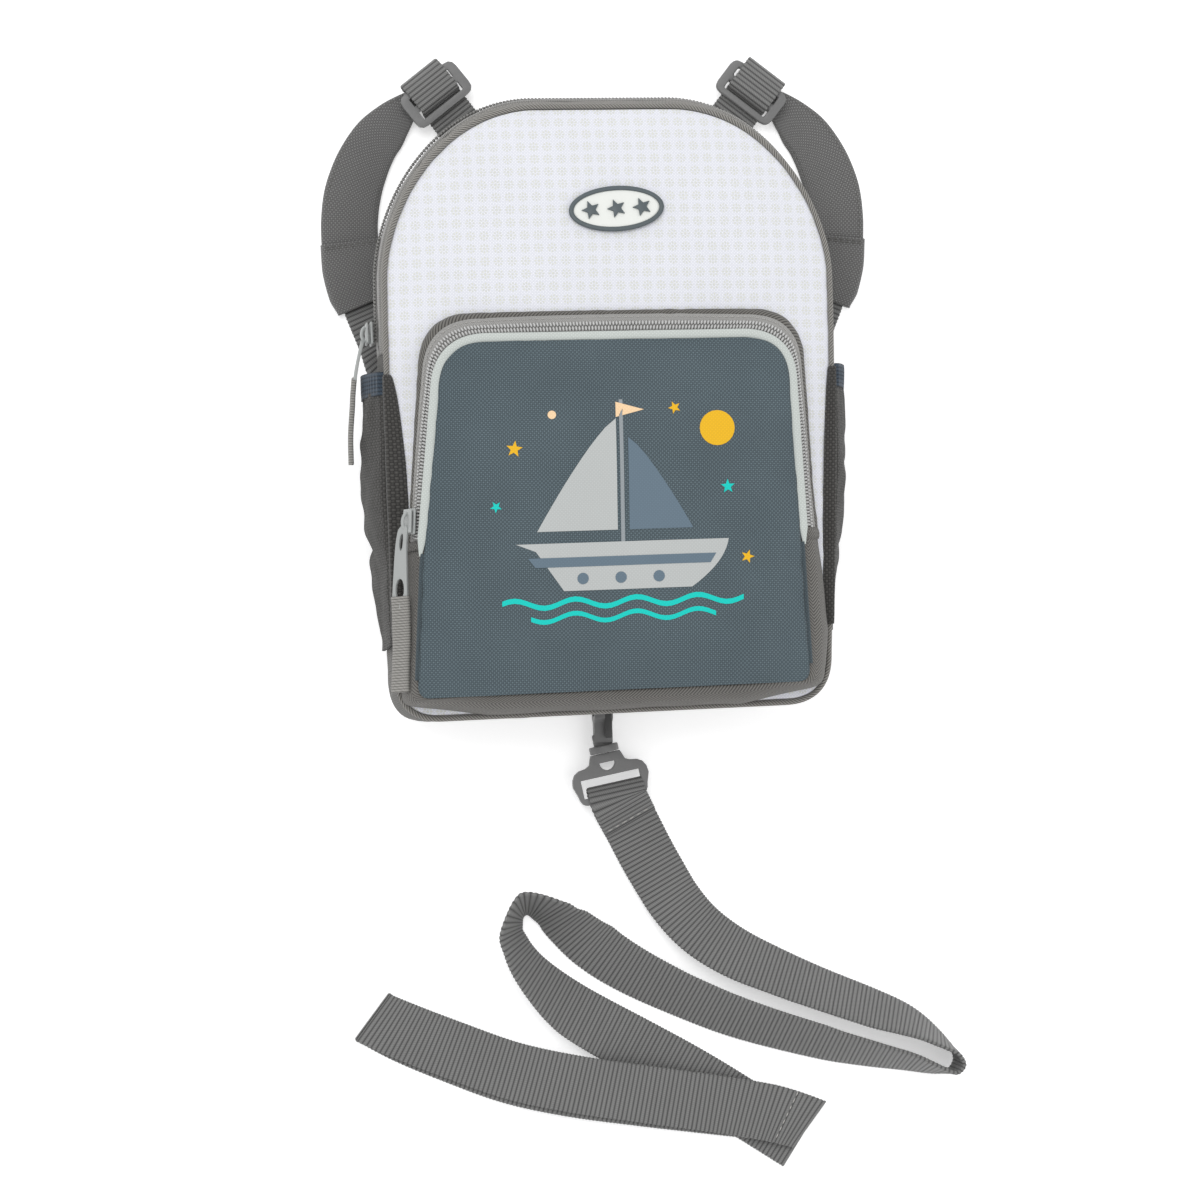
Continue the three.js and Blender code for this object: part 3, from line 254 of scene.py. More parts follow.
@dataclass
class BagForm:
    """Sizes and surfaces of the stuffed bag.

    Attributes:
        width: Widest width of the bag.
        height: Height of the bag.
        seam: Height of the front seam over the floor.
        panel_rise: Rise of the front panel over its seam.
        base_half: Half of the width at the base.
        base_corner: Corner radius at the base.
        shoulder: Height at which the arch begins.
        cloth: Thickness of the cloth walls.
        back: Thickness of the back panel.
        girth_share: Height of the widest line as a share.
        strip: Width of the gusset strip beside the front seam.
        tape: Width of the main zip tape.
        zip_end: Height at which the main zip ends.
        lean_shift: Sideways shift of the base.
        lean_rise: Rise of the right base corner.
        back_inset: Insets of the back seam at the sides, the top and the base.
        front_inset: Insets of the front seam at the same places.
        hem: Hem of the gusset inside the back seam.
        path: Half of the outline, from the middle of the base to the middle of the top.
    """

    width: float = 197.0
    height: float = 268.0
    seam: float = 57.0
    panel_rise: float = 10.0
    base_half: float = 95.0
    base_corner: float = 18.0
    shoulder: float = 55.0
    cloth: float = 1.6
    back: float = 2.4
    girth_share: float = 0.47
    strip: float = 9.0
    tape: float = 22.0
    zip_end: float = 24.0
    lean_shift: float = -3.5
    lean_rise: float = 2.2
    back_inset: tuple[float, float, float] = (16.0, 16.0, 30.0)
    front_inset: tuple[float, float, float] = (4.0, 7.5, 2.5)
    hem: float = 2.5
    path: ArcPath = field(init=False)

    def __post_init__(self) -> None:
        """Draws the half outline and caches the sections."""
        half, top = self.width / 2, self.height / 2
        path = self.path = ArcPath(0, -top)
        path.line(self.base_half - self.base_corner, -top)
        path.curve((self.base_half, -top), (self.base_half, self.base_corner - top))
        path.curve((self.base_half * 1.01, -top * 0.5), (half, 0), (half, self.shoulder))
        path.curve((half, top * 0.66), (half * 0.73, top), (half * 0.3, top))
        path.line(0, top)
        self.sides = (self.base_half - self.base_corner) / path.length, 1 - half * 0.3 / path.length
        self.seam_rows = [
            {"up": -1, "high": 0.94},
            {"up": -0.4, "high": 1},
            {"up": 0.2, "high": 0.94},
            {"up": 0.6, "high": 0.83},
            {"up": 0.85, "high": 0.75},
            {"up": 1, "high": 0.69},
        ]
        # Place across, place up, depth and width of each dent, as shares.
        self.dents = [(0.72, 0.78, 0.22, 0.1), (-0.45, 0.52, 0.1, 0.2), (0.55, 0.42, 0.1, 0.2)]
        self.side_line = [self.inset(self.path.at(share), self.front_inset) for share in steps(0, 1, 600)]
        self.section = lru_cache(maxsize=20000)(self._section)

    def settle(self, p: Vector) -> Vector:
        """Shifts a point as the whole bag sits askew."""
        share = clamp((self.height / 2 - p.y) / self.height)
        x = p.x + self.lean_shift * share
        return Vector((x, p.y + self.lean_rise * (x / (self.width / 2)) * share * share, p.z))

    def inset(
        self, p: tuple[float, float], by: tuple[float, float, float], share: float = 1.0
    ) -> tuple[float, float]:
        """Moves a point of the outline inwards.

        Args:
            p: The point.
            by: Insets at the sides, the top and the base.
            share: Part of the inset that is taken.

        Returns:
            The moved point.
        """
        end = by[1] if p[1] > 0 else by[2]
        return p[0] * (1 - by[0] * share / (self.width / 2)), p[1] * (1 - end * share / (self.height / 2))

    def share_at(self, y: float) -> float:
        """Share of the half outline at a height."""
        return self.path.share_at_height(y, self.sides[0])

    @property
    def base_turn(self) -> float:
        """Turn at which the base gusset ends."""
        return self.share_at(self.base_corner * 1.2 - self.height / 2)

    @property
    def zip_turn(self) -> float:
        """Turn at which the main zip ends."""
        return self.share_at(self.zip_end)

    def seam_at(self, y: float) -> float:
        """Height of the front seam along the bag."""
        return self.seam * table_value(self.seam_rows, "up", "high", y / (self.height / 2))

    def panel_half_width(self, y: float) -> float:
        """Half width of the front panel at a height."""
        rows = self.side_line
        i = next((k for k, p in enumerate(rows) if p[1] > y), -1)
        if i < 1:
            return 1.0 if i < 0 else rows[1][0]
        a, b = rows[i - 1], rows[i]
        return max(mix(a[0], b[0], (y - a[1]) / (b[1] - a[1])), 1.0)

    def panel_top(self, x: float, y: float, half: float | None = None) -> float:
        """Height of the front panel's outer face.

        Args:
            x: Place across the bag.
            y: Place up the bag.
            half: Half width of the panel there, or None to look it up.

        Returns:
            The height over the floor.
        """
        half = self.panel_half_width(y) if half is None else half
        side = min(abs(x) / half, 1.0)
        end = min(abs(y) / (self.height / 2 - (self.front_inset[1] if y > 0 else self.front_inset[2])), 1.0)
        crown = (1 - side**4) * (1 - end**6)
        dent = 0.0
        for across, up, deep, wide in self.dents:
            far = math.hypot(x / (self.width / 2) - across, y / (self.height / 2) - up) / wide
            dent += deep * math.exp(-far * far)
        return self.seam_at(y) + self.cloth + self.panel_rise * crown * (1 - dent)

    def _section(self, turn: float) -> tuple[list[Vector], list[float]]:
        """Section of the gusset from the front seam to the back seam, with its lengths."""
        p = self.path.mirrored(turn)
        top, low = self.seam_at(p[1]) - GAP, self.back + GAP
        widest = mix(low, top, self.girth_share)
        points = []
        for angle in steps(70, 0, 12):
            a, full = math.radians(angle), math.radians(70)
            q = self.inset(p, self.front_inset, (1 - math.cos(a)) / (1 - math.cos(full)))
            points.append(Vector((q[0], q[1], mix(widest, top, math.sin(a) / math.sin(full)))))
        for s in steps(0, 1, 16)[1:]:
            q = self.inset(p, self.back_inset, s)
            points.append(Vector((q[0], q[1], mix(widest, low, s * s + 1.24 * s * (1 - s)))))
        edge, hem = self.inset(p, self.back_inset), self.inset(p, (self.hem, self.hem, self.hem))
        points.append(Vector((edge[0] + hem[0] - p[0], edge[1] + hem[1] - p[1], low)))
        return points, run_lengths(points)

    def wall_length(self, turn: float) -> float:
        """Length of one section of the bag's wall."""
        return self.section(turn)[1][-1]

    def wall(self, turn: float, distance: float) -> Vector:
        """Point on the bag's wall, a distance down from the front seam."""
        return along_section(*self.section(turn), distance)

    def outward(self, p: Vector) -> Vector:
        """Direction away from the middle of the bag."""
        return Vector((p.x / self.width * 2, p.y / self.height * 2, (p.z - self.seam / 2) / self.seam))


@dataclass
class PocketForm:
    """Sizes and surfaces of the front pocket.

    Attributes:
        bag: The bag it is sewn to.
        middle: Height of its middle on the bag.
        half_height: Half of its height.
        top_half: Half of its width at the top.
        base_half: Half of its width at the base.
        depth: Height of its seam over the bag's seam.
        rise: Crown of its front over the seam.
        piping: Radius of the piping.
        tape: Width of its zip tape.
        zip_end: Height at which its zip ends.
        top_corner: Corner size at the top.
        base_corner: Corner size at the base.
        flare: How far its foot stands out at the sides, the top and the base.
        lean_right: Further reach of the foot at the lower right.
        lean_left: Lean of the left seam, most at its base.
        path: Half of the outline, from the middle of the base to the middle of the top.
    """

    bag: BagForm
    middle: float = -50.5
    half_height: float = 74.0
    top_half: float = 74.0
    base_half: float = 80.0
    top_corner: float = 20.0
    base_corner: float = 5.0
    flare: tuple[float, float, float] = (9.0, 13.0, 8.0)
    lean_right: float = 4.5
    lean_left: float = 4.8
    depth: float = 17.0
    rise: float = 6.0
    piping: float = 1.2
    tape: float = 10.5
    zip_end: float = -60.0
    path: ArcPath = field(init=False)

    def __post_init__(self) -> None:
        """Draws the half outline and caches the sections."""
        path = self.path = ArcPath(0, -self.half_height)
        path.line(self.base_half - self.base_corner, -self.half_height)
        path.curve((self.base_half, -self.half_height), (self.base_half, self.base_corner - self.half_height))
        path.line(self.top_half, self.half_height - self.top_corner)
        path.curve((self.top_half, self.half_height), (self.top_half - self.top_corner, self.half_height))
        path.line(0, self.half_height)
        self.sides = (
            (self.base_half - self.base_corner) / path.length,
            1 - (self.top_half - self.top_corner) / path.length,
        )
        self.seam_rows = [{"up": -1, "deep": 1.18}, {"up": 0, "deep": 1.06}, {"up": 1, "deep": 0.86}]
        self.section = lru_cache(maxsize=20000)(self._section)

    def outline(self, turn: float, flare: float) -> tuple[float, float]:
        """Point on the pocket's outline, flared by a share towards its foot."""
        x, y = self.path.mirrored(turn)
        end = self.flare[1] if y > 0 else self.flare[2]
        if x > 0:
            seam, side = 0.0, self.flare[0] + self.lean_right * clamp((10 - y) / 60) * clamp((y + 76) / 26)
        else:
            seam = self.lean_left * clamp((70 - y) / 90)
            side = self.flare[0] - seam * 0.6
        if y < 0:
            end *= 1 - 0.65 * clamp((abs(x) - 48) / 28)
        return (
            x * (1 + (seam + side * flare) / self.base_half),
            y * (1 + end * flare / self.half_height) + self.middle,
        )

    def share_at(self, y: float) -> float:
        """Share of the half outline at a height on the bag."""
        return self.path.share_at_height(y - self.middle, self.sides[0])

    def seam_at(self, y: float) -> float:
        """Height of the pocket's front seam."""
        up = (y - self.middle) / self.half_height
        return self.bag.seam + self.depth * table_value(self.seam_rows, "up", "deep", up)

    def top_at(self, x: float, y: float) -> float:
        """Height of the pocket's front."""
        up = (y - self.middle) / self.half_height
        side = min(abs(x) / mix(self.base_half, self.top_half, (up + 1) / 2), 1.0)
        crown = (1 - side**4) * (1 - min(abs(up), 1.0) ** 4)
        return self.seam_at(y) + self.bag.cloth + self.rise * crown

    def _section(self, turn: float) -> tuple[list[Vector], list[float]]:
        """Section of the pocket's wall from its front seam to the bag."""
        front, bend, foot = self.outline(turn, 0), self.outline(turn, 0.8), self.outline(turn, 1)
        top = self.seam_at(front[1]) - GAP
        low = self.bag.panel_top(*foot) + GAP + self.bag.cloth * 0.45
        points = []
        for s in steps(0, 1, 16):
            a, b, c = (1 - s) ** 2, 2 * s * (1 - s), s * s
            x, y = (a * front[k] + b * bend[k] + c * foot[k] for k in (0, 1))
            points.append(Vector((x, y, a * top + b * mix(low, top, 0.72) + c * low)))
        return points, run_lengths(points)

    def settle(self, p: Vector) -> Vector:
        """Shifts a point as the bag does."""
        return self.bag.settle(p)

    def wall_length(self, turn: float) -> float:
        """Length of one section of the wall."""
        return self.section(turn)[1][-1]

    def wall(self, turn: float, distance: float) -> Vector:
        """Point on the wall, a distance down from the pocket's front seam."""
        return along_section(*self.section(turn), distance)

    def outward(self, p: Vector) -> Vector:
        """Direction away from the middle of the pocket."""
        seam = self.bag.seam
        return Vector((p.x / self.base_half, (p.y - self.middle) / self.half_height, (p.z - seam) / seam))


class Weave(Enum):
    """Kinds of cloth structure."""

    PLAIN = "plain"
    HERRINGBONE = "herringbone"
    RIBBED = "ribbed"
    MESH = "mesh"
    SMOOTH = "smooth"


class Nodes:
    """Small helper that adds and links shader nodes in one tree."""

    def __init__(self, tree: bpy.types.NodeTree) -> None:
        """Keeps the tree."""
        self.tree = tree

    def add(self, kind: str, **settings: Any) -> bpy.types.Node:
        """Adds a node and sets its properties."""
        node = self.tree.nodes.new(kind)
        for name, value in settings.items():
            setattr(node, name, value)
        return node

    def put(self, value: Any, socket: bpy.types.NodeSocket) -> None:
        """Links a socket, or sets a plain value."""
        if isinstance(value, bpy.types.NodeSocket):
            self.tree.links.new(value, socket)
        else:
            socket.default_value = value

    def math(self, operation: str, *values: Any) -> bpy.types.NodeSocket:
        """Adds a math node on up to three values."""
        node = self.add("ShaderNodeMath", operation=operation)
        for value, socket in zip(values, node.inputs):
            self.put(value, socket)
        return node.outputs[0]

    def times(self, *values: Any) -> bpy.types.NodeSocket:
        """Product of two values."""
        return self.math("MULTIPLY", *values)

    def arch(self, value: Any) -> bpy.types.NodeSocket:
        """Row of half sine waves, one for each whole step of a value."""
        return self.math("SINE", self.times(self.math("FRACT", value), math.pi))

    def far(self, x: Any, y: Any) -> bpy.types.NodeSocket:
        """Length of a flat vector."""
        return self.math("SQRT", self.math("ADD", self.times(x, x), self.times(y, y)))

    def centred(self, value: Any) -> bpy.types.NodeSocket:
        """Place in a repeated cell, from -0.5 to 0.5."""
        return self.math("SUBTRACT", self.math("FRACT", value), 0.5)

    def vector(self, operation: str, *values: Any) -> bpy.types.NodeSocket:
        """Adds a vector math node."""
        node = self.add("ShaderNodeVectorMath", operation=operation)
        for value, socket in zip(values, node.inputs):
            self.put(value, socket)
        return node.outputs[0]

    def split(self, vector: Any) -> tuple[Any, Any, Any]:
        """Parts of a vector."""
        node = self.add("ShaderNodeSeparateXYZ")
        self.put(vector, node.inputs[0])
        return node.outputs[0], node.outputs[1], node.outputs[2]

    def noise(self, vector: Any, scale: float, detail: float = 2.0) -> Any:
        """Noise value from 0 to 1."""
        node = self.add("ShaderNodeTexNoise")
        self.put(vector, node.inputs["Vector"])
        node.inputs["Scale"].default_value = scale
        node.inputs["Detail"].default_value = detail
        return node.outputs[0]

    def blend(self, share: Any, a: Any, b: Any) -> Any:
        """Mixes two colours by a share of the second."""
        node = self.add("ShaderNodeMix", data_type="RGBA", blend_type="MIX")
        self.put(share, node.inputs[0])
        self.put(a, node.inputs[6])
        self.put(b, node.inputs[7])
        return node.outputs[2]

    def spread(self, value: Any, low: float, high: float) -> Any:
        """Maps a value from a range to 0 to 1."""
        node = self.add("ShaderNodeMapRange", clamp=True)
        for part, socket in zip((value, low, high, 0.0, 1.0), node.inputs):
            self.put(part, socket)
        return node.outputs[0]

    def group(self, tree: bpy.types.NodeTree, **inputs: Any) -> dict[str, Any]:
        """Places a node group and returns its outputs by name."""
        node = self.add("ShaderNodeGroup")
        node.node_tree = tree
        for name, value in inputs.items():
            self.put(value, node.inputs[name.replace("_", " ")])
        return {socket.name: socket for socket in node.outputs}


THREAD_SOCKETS = {
    "Place": "NodeSocketVector",
    "Pitch": "NodeSocketFloat",
    ">Height": "NodeSocketFloat",
    ">Shade": "NodeSocketFloat",
}
TONE_SOCKETS = {
    "Place": "NodeSocketVector",
    "Colour": "NodeSocketColor",
    "Amount": "NodeSocketFloat",
    ">Colour": "NodeSocketColor",
}


class WeaveGroups:
    """Shader node groups for threads, made once and shared by the finishes."""

    def __init__(self) -> None:
        """Builds each group."""
        patterns = {
            Weave.PLAIN: ("plain_weave", self._plain),
            Weave.HERRINGBONE: ("herringbone_weave", self._herringbone),
            Weave.RIBBED: ("ribbed_weave", self._ribbed),
            Weave.MESH: ("spacer_mesh", self._mesh),
        }
        self.trees = {weave: self._threads(name, pattern) for weave, (name, pattern) in patterns.items()}
        self.tone = self._tone()

    @staticmethod
    def _start(name: str, sockets: dict[str, str]) -> tuple[Nodes, bpy.types.Node, bpy.types.Node]:
        """Makes an empty group.

        Args:
            name: Name of the group.
            sockets: Kind of each socket by name; a name that starts with > is an output.

        Returns:
            The helper, the input node and the output node.
        """
        tree = bpy.data.node_groups.new(name, "ShaderNodeTree")
        for label, kind in sockets.items():
            way = "OUTPUT" if label.startswith(">") else "INPUT"
            tree.interface.new_socket(name=label.lstrip(">"), in_out=way, socket_type=kind)
        nodes = Nodes(tree)
        return nodes, nodes.add("NodeGroupInput"), nodes.add("NodeGroupOutput")

    def _threads(self, name: str, pattern: Callable[[Nodes, Any, Any, Any], tuple[Any, Any]]) -> bpy.types.NodeTree:
        """Makes the group of one pattern, which gives height and shade from x, y and pitch."""
        n, get, out = self._start(name, THREAD_SOCKETS)
        x, y, _ = n.split(get.outputs["Place"])
        height, shade = pattern(n, x, y, get.outputs["Pitch"])
        n.put(height, out.inputs["Height"])
        n.put(shade, out.inputs["Shade"])
        return n.tree

    @staticmethod
    def _plain(n: Nodes, x: Any, y: Any, pitch: Any) -> tuple[Any, Any]:
        """Threads that pass over and under each other in a plain weave."""
        x, y = n.math("DIVIDE", x, pitch), n.math("DIVIDE", y, pitch)
        over = n.math("PINGPONG", n.math("ADD", n.math("FLOOR", x), n.math("FLOOR", y)), 1.0)
        across, along = n.arch(x), n.arch(y)
        warp = n.times(n.math("POWER", across, 0.5), n.math("MULTIPLY_ADD", along, 0.6, 0.4))
        weft = n.times(n.math("POWER", along, 0.5), n.math("MULTIPLY_ADD", across, 0.6, 0.4))
        height = n.math("ADD", n.times(warp, over), n.times(weft, n.math("SUBTRACT", 1.0, over)))
        return height, n.math("MULTIPLY_ADD", over, 0.35, n.times(height, 0.65))

    @staticmethod
    def _herringbone(n: Nodes, x: Any, y: Any, pitch: Any) -> tuple[Any, Any]:
        """Slanted threads whose slant turns from column to column."""
        fold = n.math("PINGPONG", y, n.times(pitch, 2.6))
        height = n.arch(n.math("DIVIDE", n.math("ADD", x, fold), pitch))
        return height, height

    @staticmethod
    def _ribbed(n: Nodes, x: Any, y: Any, pitch: Any) -> tuple[Any, Any]:
        """Cross ribs with fine slanted threads on them."""
        rib = n.arch(n.math("DIVIDE", x, pitch))
        thread = n.arch(n.times(n.math("ADD", n.times(x, 0.45), y), 1.15))
        height = n.times(rib, n.math("MULTIPLY_ADD", thread, 0.3, 0.7))
        return height, n.times(n.math("POWER", rib, 0.6), n.math("MULTIPLY_ADD", thread, 0.35, 0.65))

    @staticmethod
    def _mesh(n: Nodes, x: Any, y: Any, pitch: Any) -> tuple[Any, Any]:
        """Spacer cloth with rows of small round holes."""
        row = n.math("DIVIDE", y, pitch)
        shift = n.times(n.math("PINGPONG", n.math("FLOOR", row), 1.0), 0.5)
        column = n.math("ADD", n.math("DIVIDE", x, pitch), shift)
        height = n.spread(n.far(n.centred(column), n.centred(row)), 0.18, 0.34)
        return height, height

    def _tone(self) -> bpy.types.NodeTree:
        """Slow and fine colour variation of cloth, and lint."""
        n, get, out = self._start("cloth_tone", TONE_SOCKETS)
        slow = n.noise(get.outputs["Place"], 0.035, 3.0)
        fine = n.noise(get.outputs["Place"], 1.3, 2.0)
        both = n.math("ADD", n.times(slow, 0.6), n.times(fine, 0.4))
        value = n.math("MULTIPLY_ADD", n.math("SUBTRACT", both, 0.5), get.outputs["Amount"], 1.0)
        scale = n.add("ShaderNodeVectorMath", operation="SCALE")
        n.put(get.outputs["Colour"], scale.inputs[0])
        n.put(value, scale.inputs["Scale"])
        n.put(scale.outputs[0], out.inputs["Colour"])
        return n.tree


@dataclass(frozen=True)
class Finish:
    """One finish of cloth, webbing, thread, plastic or metal.

    Attributes:
        name: Name of the material.
        slot: The record's material slot.
        colour: Linear base colour.
        dark: Colour in the hollows between threads, where it paints the weave's shade.
        weave: Structure of the surface.
        pitch: Thread or rib pitch in millimetres.
        depth: Depth of the structure in millimetres.
        roughness: Surface roughness.
        sheen: Weight of the cloth sheen.
        mapped: True if the pattern follows the piece's own map.
        tone: Amount of colour variation.
        turned: Turn of the pattern in degrees.
        dotted: True if small dots are printed on the cloth.
    """

    name: str
    slot: str
    colour: tuple[float, float, float]
    dark: tuple[float, float, float]
    weave: Weave = Weave.PLAIN
    pitch: float = 0.8
    depth: float = 0.12
    roughness: float = 0.85
    sheen: float = 0.12
    mapped: bool = True
    tone: float = 0.25
    turned: float = 0.0
    dotted: bool = False


DOT_COLOUR = (0.72, 0.72, 0.6, 1.0)


class Finishes:
    """Builds each finish once and hands it to the pieces."""

    def __init__(self) -> None:
        """Makes the shared groups."""
        self.weaves = WeaveGroups()
        self.made: dict[str, bpy.types.Material] = {}

    def material(self, finish: Finish) -> bpy.types.Material:
        """Material of a finish.

        Args:
            finish: The finish.

        Returns:
            Its material, built at the first call.
        """
        if finish.name in self.made:
            return self.made[finish.name]
        made = bpy.data.materials.new(finish.name)
        made.use_nodes = True
        n = Nodes(made.node_tree)
        shader = made.node_tree.nodes["Principled BSDF"]
        shader.inputs["Roughness"].default_value = finish.roughness
        shader.inputs["Sheen Weight"].default_value = finish.sheen
        shader.inputs["Sheen Roughness"].default_value = 0.6
        shader.inputs["Specular IOR Level"].default_value = 0.3 if finish.weave is not Weave.SMOOTH else 0.5
        source = n.add("ShaderNodeTexCoord")
        solid = n.vector("MULTIPLY", source.outputs["Object"], (1000.0, 1000.0, 1000.0))
        place = source.outputs["UV"] if finish.mapped else solid
        if finish.turned:
            turn = n.add("ShaderNodeVectorRotate", rotation_type="Z_AXIS")
            n.put(place, turn.inputs["Vector"])
            turn.inputs["Angle"].default_value = math.radians(finish.turned)
            place = turn.outputs[0]
        colour: Any = (*finish.colour, 1.0)
        if finish.weave is Weave.SMOOTH:
            height = n.noise(solid, 2.6, 3.0)
            scuff = n.spread(n.noise(solid, 0.4, 4.0), 0.35, 0.75)
            rough = n.math("MULTIPLY_ADD", scuff, 0.16, finish.roughness - 0.08)
            n.put(rough, shader.inputs["Roughness"])
        else:
            threads = n.group(self.weaves.trees[finish.weave], Place=place, Pitch=finish.pitch)
            height = threads["Height"]
            if finish.dotted:
                colour = self._dots(n, place, finish)
            # The threads' shade output darkens the colour towards dark: painted shade in the weave's hollows.
            colour = n.blend(threads["Shade"], (*finish.dark, 1.0), colour)
        colour = n.group(self.weaves.tone, Place=solid, Colour=colour, Amount=finish.tone)["Colour"]
        n.put(colour, shader.inputs["Base Color"])
        bump = n.add("ShaderNodeBump")
        bump.inputs["Strength"].default_value = 0.8
        bump.inputs["Distance"].default_value = finish.depth * MM
        n.put(height, bump.inputs["Height"])
        n.put(bump.outputs[0], shader.inputs["Normal"])
        self.made[finish.name] = made
        return made

    @staticmethod
    def _dots(n: Nodes, place: Any, finish: Finish) -> Any:
        """Pale rings of small dots printed on the cloth."""
        x, y, _ = n.split(place)
        dx, dy = (n.times(n.centred(n.math("DIVIDE", part, cell)), cell) for part, cell in ((x, 5.75), (y, 5.6)))
        far = n.far(dx, dy)
        ring = n.spread(n.math("ABSOLUTE", n.math("SUBTRACT", far, 1.55)), 0.65, 0.35)
        petals = n.math("COSINE", n.times(n.math("ARCTAN2", dy, dx), 8.0))
        mask = n.times(ring, n.spread(petals, -0.6, 0.1))
        heart = n.spread(far, 0.75, 0.45)
        mask = n.math("MAXIMUM", mask, heart)
        return n.blend(mask, (*finish.colour, 1.0), DOT_COLOUR)


class Kit:
    """Makes meshes from bmesh shapes and hands them to the frame."""

    def __init__(self, frame: dict[str, Any], finishes: Finishes) -> None:
        """Keeps the frame and the finishes."""
        self.frame = frame
        self.finishes = finishes
        self.count = 0

    def piece(
        self,
        name: str,
        bm: bmesh.types.BMesh,
        finish: Finish,
        stands_for: Sequence[str] = (),
        thickness: float = 0.0,
        sharp: float | None = None,
    ) -> bpy.types.Object:
        """Turns a finished bmesh into a piece that rides on the frame.

        Args:
            name: Name of the piece.
            bm: Its mesh, in metres, freed here.
            finish: Its finish.
            stands_for: The CAD nodes it replaces.
            thickness: Wall behind an open sheet, in millimetres.
            sharp: Angle in degrees from which edges stay sharp.

        Returns:
            The object.
        """
        mesh = bpy.data.meshes.new(name)
        bm.to_mesh(mesh)
        bm.free()
        mesh.polygons.foreach_set("use_smooth", [True] * len(mesh.polygons))
        if sharp is not None:
            mesh.set_sharp_from_angle(angle=math.radians(sharp))
        mesh.materials.append(self.finishes.material(finish))
        made = bpy.data.objects.new(name, mesh)
        bpy.context.scene.collection.objects.link(made)
        if thickness:
            wall = made.modifiers.new("wall", "SOLIDIFY")
            wall.thickness = thickness * MM
            wall.offset = -1.0
        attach(made, "root")
        if stands_for:
            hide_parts(*stands_for)
        self.count += 1
        LOG.info("piece %s: %d faces", name, len(mesh.polygons))
        return made

    @staticmethod
    def grid(
        along: int,
        across: int,
        place: Place,
        size: tuple[float, float],
        outward: Callable[[Vector], Vector] | None = None,
        lift: Lift | None = None,
        closed: bool = False,
        mapped: Callable[[float, float], tuple[float, float]] | None = None,
    ) -> bmesh.types.BMesh:
        """Bends a flat grid onto a surface and maps it in millimetres.

        Args:
            along: Cells along.
            across: Cells across.
            place: Surface from shares along and across to millimetres.
            size: Real length and width, for the map.
            outward: Direction that the faces look to at a point.
            lift: Height off the surface, from the same shares.
            closed: True if the sheet closes on itself along or across.
            mapped: Map from the shares, or None for an even one.

        Returns:
            The mesh, in metres.
        """
        bm = bmesh.new()
        layer = bm.loops.layers.uv.new("weave")
        bmesh.ops.create_grid(bm, x_segments=along, y_segments=across, size=0.5, calc_uvs=False)
        shares = {v: (v.co.x + 0.5, v.co.y + 0.5) for v in bm.verts}
        for face in bm.faces:
            for loop in face.loops:
                s, t = shares[loop.vert]
                loop[layer].uv = mapped(s, t) if mapped else (s * size[0], t * size[1])
        for v, (s, t) in shares.items():
            v.co = place(s, t)
        bm.normal_update()
        if outward is not None:
            votes = sum(v.normal.dot(outward(v.co)) for v in list(bm.verts)[:: max(1, len(bm.verts) // 400)])
            if votes < 0:
                bmesh.ops.reverse_faces(bm, faces=bm.faces[:])
                bm.normal_update()
        if lift is not None:
            moves = [(v, v.normal * lift(*shares[v])) for v in bm.verts]
            for v, move in moves:
                v.co += move
        bmesh.ops.scale(bm, vec=(MM, MM, MM), verts=bm.verts[:])
        if closed:
            bmesh.ops.remove_doubles(bm, verts=bm.verts[:], dist=1e-6)
        return bm

    @staticmethod
    def close(bm: bmesh.types.BMesh) -> None:
        """Closes open ends and turns all faces outwards."""
        edges = [e for e in bm.edges if e.is_boundary]
        if edges:
            bmesh.ops.holes_fill(bm, edges=edges, sides=0)
        bmesh.ops.recalc_face_normals(bm, faces=bm.faces[:])

    @staticmethod
    def many(matrices: Sequence[Matrix], segments: int = 8, rings: int = 5) -> bmesh.types.BMesh:
        """Rounded beads, one for each matrix.

        Args:
            matrices: Places and sizes in millimetres.
            segments: Segments round each bead.
            rings: Rings of each bead.

        Returns:
            The mesh, in metres.
        """
        bm = bmesh.new()
        bmesh.ops.create_uvsphere(bm, u_segments=segments, v_segments=rings, radius=1.0)
        groups = [bm.verts[:]]
        shape = [v.co.copy() for v in groups[0]]
        while len(groups) < len(matrices):
            taken = groups[: len(matrices) - len(groups)]
            verts = [v for group in taken for v in group]
            faces = {f for v in verts for f in v.link_faces}
            edges = {e for v in verts for e in v.link_edges}
            twins = bmesh.ops.duplicate(bm, geom=[*verts, *edges, *faces])["vert_map"]
            groups += [[twins[v] for v in group] for group in taken]
        for group, matrix in zip(groups, matrices):
            whole = Matrix.Scale(MM, 4) @ matrix
            for v, co in zip(group, shape):
                v.co = whole @ co
        return bm

    def tube(
        self,
        path: Sequence[Vector],
        radius: float | Callable[[float], float],
        sides: int = 12,
        closed: bool = False,
        flat: float = 1.0,
    ) -> bmesh.types.BMesh:
        """Round tube along points.

        Args:
            path: Points in millimetres.
            radius: Radius, or radius by share of the path.
            sides: Sides of the tube.
            closed: True if the path closes on itself.
            flat: Height of the section as a share of its width.

        Returns:
            The mesh, in metres.
        """
        points = list(path) + ([path[0]] if closed else [])
        frames = carried_frames(points, closed)
        length = run_lengths(points)[-1]

        def place(s: float, t: float) -> Vector:
            i = round(s * (len(points) - 1))
            side, up = frames[i]
            r = radius(s) if callable(radius) else radius
            a = 2 * math.pi * t
            return points[i] + side * (math.cos(a) * r) + up * (math.sin(a) * r * flat)

        mean = radius(0.5) if callable(radius) else radius
        bm = self.grid(len(points) - 1, sides, place, (length, 2 * math.pi * mean), closed=True)
        self.close(bm)
        return bm

